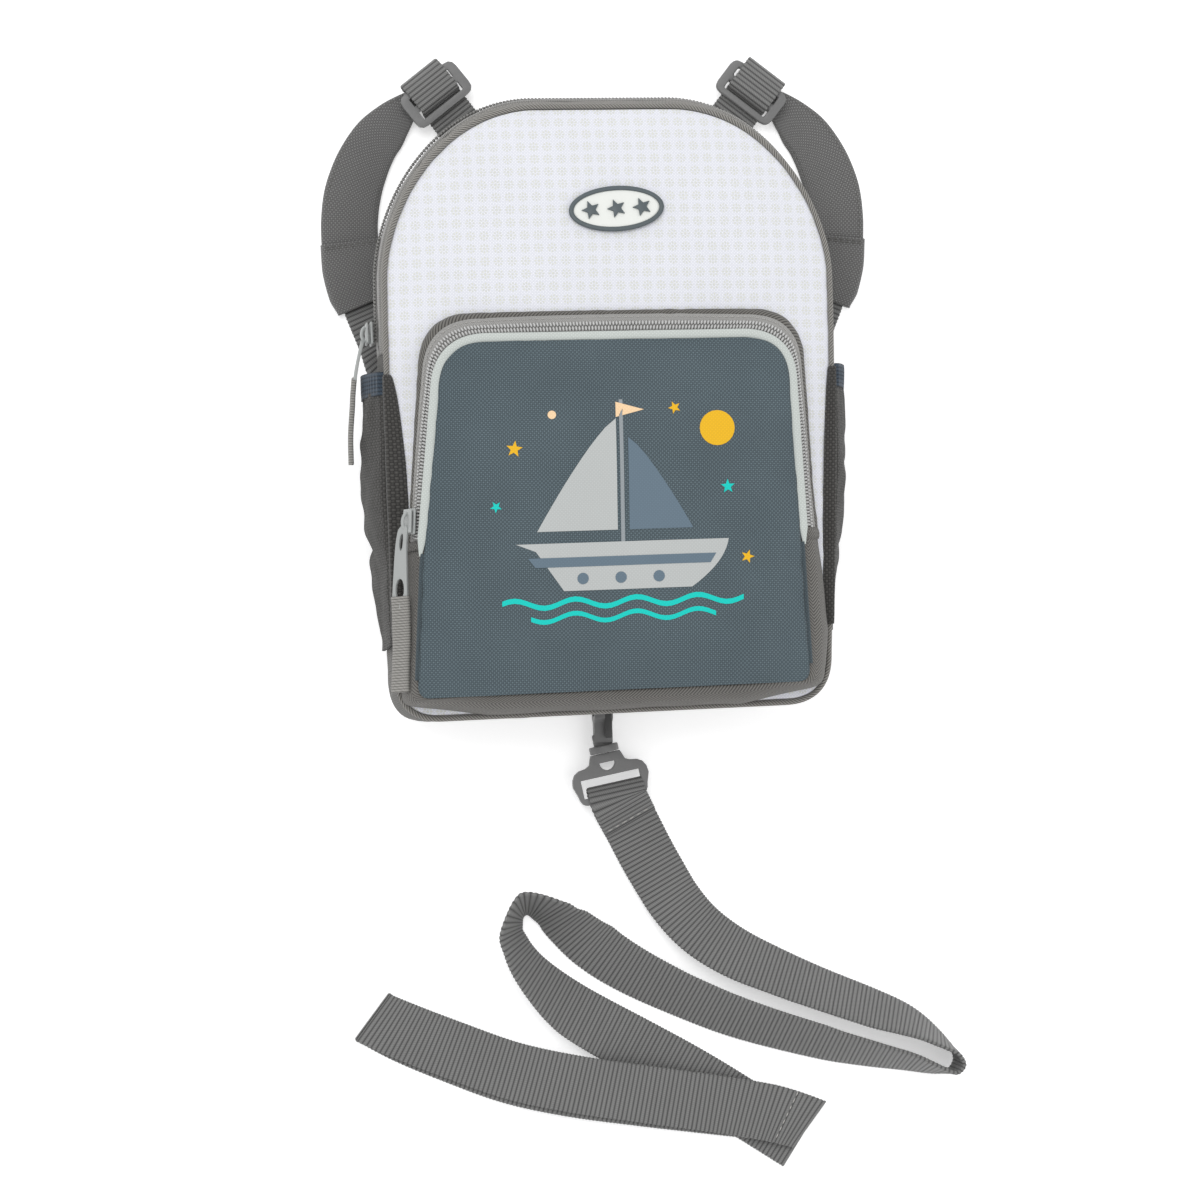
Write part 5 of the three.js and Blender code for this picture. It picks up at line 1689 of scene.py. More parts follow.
    def pull(self) -> None:
        """Builds the slider, the puller and the folded pull tab."""
        form = self.form
        middle = form.piping + form.tape / 2
        turn = 2 - form.share_at(form.zip_end + 9)
        foot = self.at(turn, middle, 1.6 + 2 * GAP + 0.5)
        up = (self.at(turn, middle, 3) - self.at(turn, middle, 0)).normalized()
        along = (self.at(turn - 0.004, middle) - self.at(turn + 0.004, middle)).normalized()
        pull = ZipPull(self.kit, "pocket_zip")
        pull.slider("pocket_zip_slider", foot, along, up.cross(along).normalized(), up, 11, 7.5)

        def hang(rows: Sequence[tuple[float, float, float]]) -> list[Vector]:
            return [self.at(2 - form.share_at(y), middle + slip, off) for y, slip, off in rows]

        side_turn = 2 - form.share_at(form.zip_end - 10)
        side = (self.at(side_turn, middle + 1) - self.at(side_turn, middle)).normalized()
        side = (side + Vector((-0.9, 0, 0))).normalized()
        end = form.zip_end
        plate = hang([(end + 7, 0, 6.0), (end - 2, 1.2, 6.6), (end - 26, 2.5, 4.6)])
        pull.puller("pocket_zip_puller", plate, side, (4.6, 8.0), 1.5)
        low = form.middle - form.half_height + form.base_corner
        upper = [(end - 21, 2.4, 4.9), (end - 27, 2.6, 4.2), (end - 36, 3, 3.4)]
        ribbon = hang([*upper, (end - 52, 3, 3.3), (low, 3, 3.3)])
        pull.tape("pocket_pull_tab", ribbon, side, (8.6, 8.8, 8.4, 8.6), 2.7, "pocket_pull_ribbon")

    def lay(self, name: str, finish: Finish, shapes: Sequence[Outline], lift: float = 0.14) -> None:
        """Lays flat shapes of one colour on the pocket's face.

        Args:
            name: Name of the piece.
            finish: The printed colour.
            shapes: Outlines in millimetres on the pocket's front.
            lift: Height over the cloth.
        """
        bm = bmesh.new()
        for corners in shapes:
            face = bm.faces.new([bm.verts.new((x, y, 0.0)) for x, y in corners])
            bmesh.ops.triangulate(bm, faces=[face])
        for at in range(-70, 71, 3):
            for normal, origin in (((1, 0, 0), (at, 0, 0)), ((0, 1, 0), (0, at + self.form.middle, 0))):
                parts = bm.verts[:] + bm.edges[:] + bm.faces[:]
                bmesh.ops.bisect_plane(bm, geom=parts, plane_co=origin, plane_no=normal)
        for v in bm.verts:
            v.co = self.form.settle(Vector((v.co.x, v.co.y, self.face(v.co.x, v.co.y) + lift)))
        bmesh.ops.scale(bm, vec=(MM, MM, MM), verts=bm.verts[:])
        bm.normal_update()
        bmesh.ops.reverse_faces(bm, faces=[f for f in bm.faces if f.normal.z < 0])
        self.kit.piece(name, bm, finish)

    def print_motif(self) -> None:
        """Prints a plain sailing boat with waves, a sun and small stars."""
        mid = self.form.middle + 2

        def arc(x: float, y: float, r: float, end: float = 342, count: int = 18) -> Outline:
            angles = [math.radians(t) for t in steps(0, end, count)]
            return [(x + r * math.cos(a), mid + y + r * math.sin(a)) for a in angles]

        def star(x: float, y: float, r: float, turn: float) -> Outline:
            corners = [(r * (0.42 if i % 2 else 1), math.radians(turn + 36 * i)) for i in range(10)]
            return [(x + far * math.cos(a), mid + y + far * math.sin(a)) for far, a in corners]

        def wave(y: float, x0: float, x1: float, thick: float) -> Outline:
            top = [(x, mid + y + 1.7 * math.sin(x / 4.1)) for x in steps(x0, x1, 40)]
            return top + [(x, high - thick) for x, high in reversed(top)]

        def sail(x: float, top: float, reach: float, fall: float) -> Outline:
            leech = [(x + reach * s**0.8, mid + top - fall * s) for s in steps(0, 1, 12)]
            return [(x, mid - 9), *leech]

        def flat(*corners: tuple[float, float]) -> Outline:
            return [(x, mid + y) for x, y in corners]

        bow = [(46 - 3 * s - 13 * s * s, -14 - 20 * s) for s in steps(0, 1, 10)]
        stern = [(-24 - 14 * s, -34 + 20 * s) for s in steps(0, 1, 6)][1:-1]
        hull = flat((-44, -14), (46, -14), *bow, (-24, -34), *stern)
        band = flat((-39, -20), (40.5, -20), (38, -24), (-36, -24))
        ports = [arc(x, -29, 2.4) for x in (-16, 0, 16)]
        mast = flat((0.4, -14), (0.4, 46), (2.0, 46), (2.0, -14))
        light = print_finish("print_light_grey", (0.5, 0.52, 0.515))
        blue = print_finish("print_blue_grey", (0.13, 0.185, 0.235))
        self.lay("print_light_shapes", light, [hull, sail(-1, 38, -34, 47)])
        self.lay("print_blue_shapes", blue, [sail(4, 30, 27, 39)])
        self.lay("print_blue_band", blue, [band, *ports], 0.26)
        for name, finish, colour, shapes in (
            ("print_teal_shapes", "print_teal", (0.0, 0.62, 0.55), [
                wave(-38, -50, 52, 2.2), wave(-44, -38, 40, 2.0), star(46, 8, 3.2, 20), star(-52, 2, 2.6, 50),
            ]),
            ("print_yellow_shapes", "print_yellow", (0.85, 0.48, 0.01), [
                arc(42, 33, 7.5, 345, 23), star(-44, 26, 3.6, 10), star(24, 42, 2.8, 40), star(54, -22, 3.0, 0),
            ]),
            ("print_peach_shapes", "print_peach", (0.93, 0.66, 0.4), [
                flat((-1, 38.5), (-1, 45), (11, 41.5)), arc(-28, 40, 1.8),
            ]),
            ("print_pale_mast", "print_mast", (0.3, 0.33, 0.35), [mast]),
        ):
            self.lay(name, print_finish(finish, colour), shapes)

    def build(self) -> None:
        """Builds all of the pocket."""
        self.panel()
        self.print_motif()
        self.piping()
        self.walls()
        self.pull()


@dataclass
class SidePockets:
    """Two open side pockets with elastic at the mouth.

    Attributes:
        kit: Mesh maker.
        form: Surfaces of the bag.
        top: Height of the mouth, below the elastic.
        low: Height of the base seam.
        front_edge: Distance of the front seam down the bag's wall.
        back_edge: Distance of the back seam from the end of the wall.
        bulge_left: Bulge of the left pocket.
        bulge_right: Bulge of the right pocket.
        elastic: Height of the elastic.
        hem_left: Reach of the left hem over the front seam.
        hem_right: Reach of the right hem over the front seam.
    """

    kit: Kit
    form: BagForm
    top: float = 4.0
    low: float = -102.0
    front_edge: float = 0.4
    back_edge: float = 9.0
    bulge_left: float = 6.5
    bulge_right: float = 6.0
    elastic: float = 10.0
    hem_left: float = 5.5
    hem_right: float = 2.4

    def turn_at(self, left: bool, y: float) -> float:
        """Turn of a side at a height."""
        return 2 - self.form.share_at(y) if left else self.form.share_at(y)

    def out_at(self, left: bool, y: float) -> float:
        """How far the pocket bulges at a height."""
        rows = [
            {"up": 0, "out": 0},
            {"up": 0.12, "out": 0.12},
            {"up": 0.35, "out": 0.6},
            {"up": 0.65, "out": 1},
            {"up": 1, "out": 0.7},
        ]
        bulge = self.bulge_left if left else self.bulge_right
        return bulge * table_value(rows, "up", "out", (y - self.low) / (self.top - self.low))

    def surface(self, left: bool, y: float, s: float, extra: float, out: float) -> Vector:
        """Point on the outer face of a pocket.

        Args:
            left: True for the left pocket.
            y: Place up the bag.
            s: Share of the way from the front seam to the back seam.
            extra: Height over the bag's wall.
            out: How far the pocket bulges there.

        Returns:
            The settled point.
        """
        form = self.form
        turn = self.turn_at(left, y)
        distance = mix(self.front_edge, form.wall_length(turn) - self.back_edge, s)
        p = form.wall(turn, distance)
        down = form.wall(turn, distance + 0.5) - form.wall(turn, distance - 0.5)
        normal = down.cross(form.wall(turn + 0.003, distance) - p).normalized()
        if normal.dot(form.outward(p)) < 0:
            normal.negate()
        rise = math.sin(math.pi * clamp(s))
        lift = 0.5 + (3 * GAP + extra - 0.5) * min(1.0, rise * 5) + out * rise**0.8
        return form.settle(p + normal * lift)

    def hem(self, left: bool) -> Place:
        """Surface of the hem, which climbs over the front seam's binding."""
        form = self.form
        inward = 1.0 if left else -1.0
        width = self.hem_left if left else self.hem_right
        past_seam, climb = 3.3, 0.4

        def place(s: float, t: float) -> Vector:
            y = mix(self.low + 2, self.top + 8, s)
            turn = self.turn_at(left, y)
            reach = width * math.sin(math.pi * clamp(0.06 + 0.94 * s)) ** 0.6
            if t < climb:
                share = t / climb
                foot = form.wall(turn, mix(3.0, 0, share))
                return form.settle(foot + Vector((-inward * mix(2.2, past_seam, share), 0, mix(0, 1.6, share))))
            seam = form.wall(turn, 0)
            share = (t - climb) / (1 - climb)
            x = seam.x - inward * past_seam * (1 - share) + inward * reach * share
            high = max(form.panel_top(x, y), seam.z) + mix(2.5, 0.45, share**2) - 0.9 * (1 - share) ** 6
            return form.settle(Vector((x, y, high)))

        return place

    def build_side(self, side: str, left: bool, seed: float) -> None:
        """Builds one pocket.

        Args:
            side: Name of the side.
            left: True for the left one.
            seed: Shifts the pattern of its folds.
        """
        outward = self.form.outward
        fold_depth = 2.4 if left else 1.2

        def cloth(s: float, t: float) -> Vector:
            y = mix(self.low - 1, self.top + 1.2, s)
            return self.surface(left, y, t, 1.4, self.out_at(left, y))

        def folds(s: float, t: float) -> float:
            slow = 2.2 * ripple(s * 60 + t * 34, t * 42, 21, seed)
            crease = slow + 1.0 * ripple(s * 106, t * 60 - s * 30, 9, seed + 2)
            gather = 0.5 * math.sin(t * 40) * clamp((s - 0.8) / 0.2)
            fold = fold_depth * bump_at(s, 0.26 + 0.3 * t, 0.035) * clamp(t * 2)
            return math.sin(math.pi * t) ** 0.6 * (crease + gather - fold)

        def band(s: float, t: float) -> Vector:
            y = mix(self.top - 0.2, self.top + self.elastic + 0.2, t)
            return self.surface(left, y, s, 2.0, self.out_at(left, self.top))

        def soft(s: float, t: float) -> float:
            return 0.3 * ripple(s * 107, t * 6, 12, 33)

        def gathers(s: float, t: float) -> float:
            return 0.22 * math.sin(s * 60 * 2.1) * math.sin(math.pi * t) + 0.3 * ripple(s * 60, t * 10, 9, 90)

        for name, node, cells, place, size, lift, finish, thickness in (
            ("side_pocket_hem", "", (110, 24), self.hem(left), (107, 9), soft, DARK_GREY, 0.9),
            ("side_pocket_cloth", "side_pocket", (130, 70), cloth, (107, 62), folds, DARK_GREY, 1.1),
            ("elastic_band", "pocket_elastic", (150, 16), band, (60, 10.4), gathers, ELASTIC, 1.6),
        ):
            bm = self.kit.grid(*cells, place, size, outward=outward, lift=lift)
            self.kit.piece(f"{name}_{side}", bm, finish, [f"{node}_{side}"] if node else (), thickness=thickness)

    def build(self) -> None:
        """Builds both pockets."""
        self.build_side("left", True, 5.0)
        self.build_side("right", False, 14.0)


@dataclass
class Badge:
    """Oval badge with a raised rim and three plain stars.

    Attributes:
        kit: Mesh maker.
        form: Surfaces of the bag.
        x: Place of its middle to the right.
        y: Place of its middle up the bag.
        length: Length of the oval.
        height: Height of the oval.
        thickness: Thickness of the face.
        rim: Width of the rim.
        rim_rise: Rise of the rim over the face.
        turn: Turn in degrees.
        star: Reach, waist, rise and spacing of the stars.
    """

    kit: Kit
    form: BagForm
    x: float = 3.0
    y: float = 81.0
    length: float = 41.0
    height: float = 20.0
    thickness: float = 1.3
    rim: float = 2.0
    rim_rise: float = 0.9
    turn: float = 3.0
    star: tuple[float, float, float, float] = (4.2, 1.9, 0.8, 11.0)

    def build(self) -> None:
        """Builds the face, the rim and the stars."""
        form = self.form
        turn = math.radians(self.turn)

        def surface(x: float, y: float, lift: float) -> Vector:
            px = self.x + x * math.cos(turn) - y * math.sin(turn)
            py = self.y + x * math.sin(turn) + y * math.cos(turn)
            return form.settle(Vector((px, py, form.panel_top(px, py) + GAP + lift)))

        a, b = self.length / 2, self.height / 2

        def face(s: float, t: float) -> Vector:
            angle = 2 * math.pi * s
            x, y = (a - self.rim + GAP) * t, (b - self.rim + GAP) * t
            return surface(x * math.cos(angle), y * math.sin(angle), self.thickness)

        bm = self.kit.grid(96, 14, face, (120, 20), outward=lambda p: Vector((0, 0, 1)), closed=True)
        self.kit.piece("badge_face", bm, BADGE_FACE, ["badge_base"], thickness=1.2)

        def rim(s: float, t: float) -> Vector:
            angle, round_turn = 2 * math.pi * s, 2 * math.pi * t
            c, d = math.cos(round_turn), math.sin(round_turn)
            out = math.copysign(abs(c) ** 0.6, c) * self.rim / 2
            high = (self.thickness + self.rim_rise) / 2
            lift = high + math.copysign(abs(d) ** 0.6, d) * high
            x, y = a - self.rim / 2 + out, b - self.rim / 2 + out
            return surface(x * math.cos(angle), y * math.sin(angle), lift)

        bm = self.kit.grid(120, 20, rim, (110, 8), closed=True)
        bmesh.ops.recalc_face_normals(bm, faces=bm.faces[:])
        self.kit.piece("badge_rim_ring", bm, BADGE_RIM, ["badge_rim"])
        reach, waist, rise, spacing = self.star
        for k in (-1, 0, 1):
            bm = bmesh.new()
            bmesh.ops.create_circle(bm, cap_ends=True, segments=10, radius=1.0)
            for i, v in enumerate(bm.verts):
                angle = math.atan2(v.co.y, v.co.x)
                far = reach if i % 2 == 0 else waist
                v.co = Vector((math.cos(angle + math.pi / 2) * far, math.sin(angle + math.pi / 2) * far, 0))
            top = bmesh.ops.extrude_face_region(bm, geom=bm.faces[:])
            raised = [v for v in top["geom"] if isinstance(v, bmesh.types.BMVert)]
            bmesh.ops.translate(bm, vec=(0, 0, rise), verts=raised)
            bmesh.ops.recalc_face_normals(bm, faces=bm.faces[:])
            round_edges(bm, 0.18, 2)
            for v in bm.verts:
                v.co = surface(k * spacing + v.co.x, v.co.y, self.thickness + GAP * 0.3 + v.co.z)
            bmesh.ops.scale(bm, vec=(MM, MM, MM), verts=bm.verts[:])
            self.kit.piece(f"badge_star_shape_{k + 2}", bm, BADGE_RIM, [f"badge_star_{k + 2}"], sharp=50)


@dataclass
class Ribbon:
    """Band of webbing along a route, with real ribs.

    Attributes:
        kit: Mesh maker.
        width: Width of the band.
        thickness: Thickness of the band.
        pitch: Distance between two ribs.
        rib: Depth of the ribs.
    """

    kit: Kit
    width: float
    thickness: float
    pitch: float = 1.5
    rib: float = 0.25

    @staticmethod
    def carried(rows: Sequence[Cross], count: int) -> tuple[list[Vector], list[float]]:
        """Directions across and width shares, eased from row to row.

        Args:
            rows: Middle points, directions across and width shares.
            count: Steps along.

        Returns:
            One direction and one share for each step.
        """
        marks = run_lengths([row[0] for row in rows])
        across, wide = [], []
        for i in range(count + 1):
            at = i / count * marks[-1]
            k = min(max(bisect_right(marks, at) - 1, 0), len(rows) - 2)
            s = clamp((at - marks[k]) / (marks[k + 1] - marks[k]))
            eased = s * s * (3 - 2 * s) if len(rows) < 6 else s
            across.append(rows[k][1].lerp(rows[k + 1][1], eased).normalized())
            wide.append(mix(rows[k][2], rows[k + 1][2], eased))
        for _ in range(8 if count > 60 else 0):
            inner = [(a + b * 2 + c).normalized() for a, b, c in zip(across, across[1:], across[2:])]
            across = [across[0], *inner, across[-1]]
        return across, wide

    def section(self) -> Outline:
        """Closed section with round edges, in shares of half of the width and thickness."""
        edge = min(self.thickness / self.width, 0.2)
        flat = steps(edge - 1, 1 - edge, 8)
        turned = [math.radians(t) for t in (60, 30, 0, -30, -60)]
        ring = [(x, 1.0) for x in flat]
        ring += [(1 - edge * (1 - math.cos(a)), math.sin(a)) for a in turned]
        ring += [(-x, -1.0) for x in flat]
        ring += [(edge * (1 - math.cos(a)) - 1, -math.sin(a)) for a in turned]
        return [*ring, ring[0]]

    def make(
        self,
        name: str,
        rows: Sequence[Cross],
        finish: Finish,
        nodes: Sequence[str],
        count: int | None = None,
        wave: float = 0.0,
        bulge: float = 0.0,
    ) -> tuple[list[Vector], list[Vector]]:
        """Builds the band.

        Args:
            name: Name of the piece.
            rows: Middle points, directions across and width shares.
            finish: The webbing.
            nodes: CAD nodes it replaces.
            count: Steps along, or None for a fine count.
            wave: Height of soft waves of its edges.
            bulge: Crown of the middle over the edges.

        Returns:
            The fine middle points and the fine directions across.
        """
        points = [row[0] for row in rows]
        length = run_lengths(smooth_line(points, 24 * (len(rows) - 1)))[-1]
        count = count or int(length / self.pitch * 4)
        middle = smooth_line(points, count)
        across, wide = self.carried(rows, count)
        ups = []
        for i in range(count + 1):
            along = middle[min(i + 1, count)] - middle[max(i - 1, 0)]
            ups.append(across[i].cross(along).normalized())
        ring = self.section()
        sides = len(ring) - 1
        reach = [0.0]
        for a, b in zip(ring, ring[1:]):
            reach.append(reach[-1] + math.hypot((b[0] - a[0]) * self.width / 2, (b[1] - a[1]) * self.thickness / 2))

        def place(s: float, t: float) -> Vector:
            i = min(int(round(s * count)), count)
            x, y = ring[int(round(t * sides))]
            rib = self.rib * (abs(math.sin(math.pi * s * length / self.pitch)) - 0.5)
            high = y * (self.thickness / 2 + rib)
            soft = wave * ripple(s * length, x * 6, 24, self.width)
            crown = bulge * (1 - x * x)
            edge = x * (self.width * wide[i] / 2 + rib * 1.5)
            return middle[i] + across[i] * edge + ups[i] * (high + soft + crown)

        def mapped(s: float, t: float) -> tuple[float, float]:
            return s * length, reach[int(round(t * sides))]

        bm = self.kit.grid(count, sides, place, (length, 2 * self.width), closed=True, mapped=mapped)
        self.kit.close(bm)
        self.kit.piece(name, bm, finish, nodes)
        return middle, [a * w for a, w in zip(across, wide)]


# x and y as shares of half of the bag's width and height, turn in degrees, width share and lift.
STRAP_TABLE = [
    (0.69, 1.045, 142, 0.84, 1.5), (0.75, 1.035, 122, 0.82, 1.5), (0.83, 0.99, 96, 0.8, 0.6),
    (0.92, 0.94, 62, 0.84, 0), (0.985, 0.89, 44, 0.9, 0), (1.045, 0.81, 27, 0.96, 0),
    (1.085, 0.72, 14, 1, 0), (1.1, 0.63, 1, 1, 0), (1.098, 0.545, -6, 1, 0),
]
SLEEVE_TABLE = [(1.098, 0.565, -6, 0.91), (1.085, 0.48, -12, 0.95), (1.06, 0.41, -19, 0.96), (1.035, 0.36, -22, 0.88)]
LOWER_TABLE = [(1.045, 0.4, -20, 1.0), (1.03, 0.355, -22, 1.0), (0.97, 0.24, -30, 1.0), (0.93, 0.14, -50, 1.05)]


@dataclass
class Harness:
    """Webbing, slider, padded strap and sleeve of one side.

    Attributes:
        kit: Mesh maker.
        form: Surfaces of the bag.
        side: Name of the side.
        flip: Sign of the side.
        webbing: Width of the webbing.
        webbing_thick: Thickness of the webbing.
        strap: Width of the padded strap.
        strap_thick: Thickness of the padded strap.
        sleeve: Width of the sleeve at the strap's end.
        sleeve_thick: Thickness of the sleeve.
        slider: Place of the slider's middle.
        slider_turn: Turn of the slider in degrees.
        bar: Width of the slider's bars.
        window: Width of its two windows.
        slider_thick: Thickness of the slider.
    """

    kit: Kit
    form: BagForm
    side: str
    flip: float
    webbing: float = 20.0
    webbing_thick: float = 1.4
    strap: float = 25.0
    strap_thick: float = 2.6
    sleeve: float = 29.0
    sleeve_thick: float = 4.2
    slider: tuple[float, float, float] = (70.0, 139.5, 8.0)
    slider_turn: float = 38.0
    bar: float = 3.0
    window: float = 4.0
    slider_thick: float = 2.6

    def settled(self, x: float, y: float, z: float) -> Vector:
        """Settled point with the side's own sign."""
        return self.form.settle(Vector((self.flip * x, y, z)))

    def rows(self, table: Sequence[tuple[float, ...]], high: float) -> list[Cross]:
        """Rows of a band from a table of x, y, turn, width share and, where given, lift."""
        half, top = self.form.width / 2, self.form.height / 2
        made = []
        for x, y, turn, wide, *lift in table:
            way = flat_direction(turn)
            across = Vector((self.flip * way.x, way.y, 0))
            made.append((self.settled(x * half, y * top, GAP + high + sum(lift)), across, wide))
        return made

    def frame_webbing(self) -> None:
        """Builds the webbing that threads through the slider."""
        way = flat_direction(180 - self.slider_turn)
        along = Vector((self.flip * way.x, way.y, 0))
        out = Vector((self.flip * way.y, -way.x, 0))
        centre = Vector((self.flip * self.slider[0], self.slider[1], self.slider[2]))
        edge = [self.form.inset(self.form.path.at(share), self.form.back_inset) for share in steps(0.5, 1, 200)]
        near = min(edge, key=lambda p: abs((self.flip * p[0] - centre.x) * out.y - (p[1] - centre.y) * out.x))
        start = Vector((self.flip * near[0], near[1], GAP + self.webbing_thick / 2)) - out * 3
        rail = self.bar * 1.5 + self.window
        half = self.slider_thick / 2 + self.webbing_thick / 2 + 2 * GAP
        middle = (self.bar + self.window) / 2
        # Distance out from the slider's middle, and height over it, from the bag to the end.
        view = [
            (-rail - 5, -half - 0.6), (-rail, -half), (-middle - 1, -half * 0.9), (-middle, 0),
            (-self.bar / 2, half * 0.98), (self.bar / 2, half * 1.05), (middle + 1, half * 1.08), (rail, half * 1.02),
            (rail + 2.6, half * 0.6), (rail + 3.4, -half * 0.2), (rail + 2.2, -half), (rail - 1, -half * 1.15),
        ]
        points = [centre + out * away + Vector((0, 0, up)) for away, up in view]
        points = [start, start.lerp(points[0], 0.5) + Vector((0, 0, 0.6)), *points]
        rows = [(self.form.settle(p), along * self.flip, 1.0) for p in points]
        band = Ribbon(self.kit, self.webbing, self.webbing_thick)
        band.make(f"slider_webbing_{self.side}", rows, WEBBING, [f"upper_webbing_{self.side}"])

    def straps(self) -> None:
        """Builds the padded strap, the sleeve and the lower webbing."""
        middle, across = Ribbon(self.kit, self.strap, self.strap_thick, rib=0.0, pitch=2.2).make(
            f"strap_cloth_{self.side}", self.rows(STRAP_TABLE, self.strap_thick / 2), STRAP,
            [f"shoulder_strap_{self.side}"], count=220, wave=0.3, bulge=0.25,
        )
        seam = Stitches(self.kit, f"strap_stitches_{self.side}", THREAD, 0.36)
        high = Vector((0, 0, self.strap_thick / 2 + 0.02))
        for edge in (-0.42, 0.42):
            seam.row([m + a * (edge * self.strap) + high for m, a in zip(middle[6:], across[6:])], 2.0, 0.8)
        seam.done()
        middle, across = Ribbon(self.kit, self.sleeve, self.sleeve_thick, rib=0.0).make(
            f"sleeve_cloth_{self.side}", self.rows(SLEEVE_TABLE, self.sleeve_thick / 2), STRAP,
            [f"strap_sleeve_{self.side}"], count=110, wave=0.5, bulge=0.3,
        )
        seam = Stitches(self.kit, f"sleeve_stitches_{self.side}", THREAD, 0.5)
        high = Vector((0, 0, self.sleeve_thick / 2 + 0.25))
        for at in (5, 9):
            seam.row([middle[at] + across[at] * (self.sleeve * x) + high for x in steps(-0.48, 0.48, 20)], 2.2, 0.5)
        seam.done()
        half = self.form.width / 2
        panel_edge = half - self.form.back_inset[0] + GAP
        table = [*LOWER_TABLE, ((panel_edge - 2) / half, 0.03, -88, 1.2)]
        band = Ribbon(self.kit, self.webbing, self.webbing_thick)
        name = f"lower_webbing_band_{self.side}"
        band.make(name, self.rows(table, self.webbing_thick / 2), WEBBING, [f"lower_webbing_{self.side}"])

    def build(self) -> None:
        """Builds the whole side."""
        bm = self.kit.hard_copy(f"strap_slider_{self.side}", 0.9, 4)
        self.kit.piece(f"slider_frame_{self.side}", bm, PLASTIC, [f"strap_slider_{self.side}"], sharp=60)
        self.frame_webbing()
        self.straps()


# x and y of the standing edge on the floor and its tilt in degrees, from the hook to the hand loop.
LEASH_ROUTE: list[tuple[float, float, float]] = [
    (25.8, -190, 3), (31.4, -200.6, 6), (37.4, -211.2, 11), (45.6, -221.4, 18), (57.4, -230.8, 27), (71.8, -239, 36),
    (92, -249, 44), (117, -260, 50), (132, -268, 60), (143, -278, 74), (150, -288, 88), (149, -295, 90),
    (142, -297, 82), (127, -295, 70), (106, -292, 60), (86, -288, 52), (51, -278, 44), (24, -267, 40),
    (1, -256, 32), (-16, -245, 26), (-28, -233, 40), (-35.5, -223, 60), (-39, -221.5, 64), (-41, -225, 64),
    (-38, -233, 58), (-30, -242, 46), (-13, -254, 20), (15, -270, 0), (34, -281, 0), (50, -291, 0),
    (68, -303, 0), (86, -315, 0),
]
# x, y, turn in degrees and height of the hand loop's lower layer.
HAND_ROUTE: list[tuple[float, float, float, float]] = [
    (66, -311.5, 70, 2.4), (41, -306.5, 79, 2.4), (10, -301, 78, 4.4), (-20, -295.5, 75, 5.6), (-47, -289, 72, 1.6),
    (-73, -279, 68, 0), (-92, -271, 60, 0), (-106, -264.5, 52, 0),
]


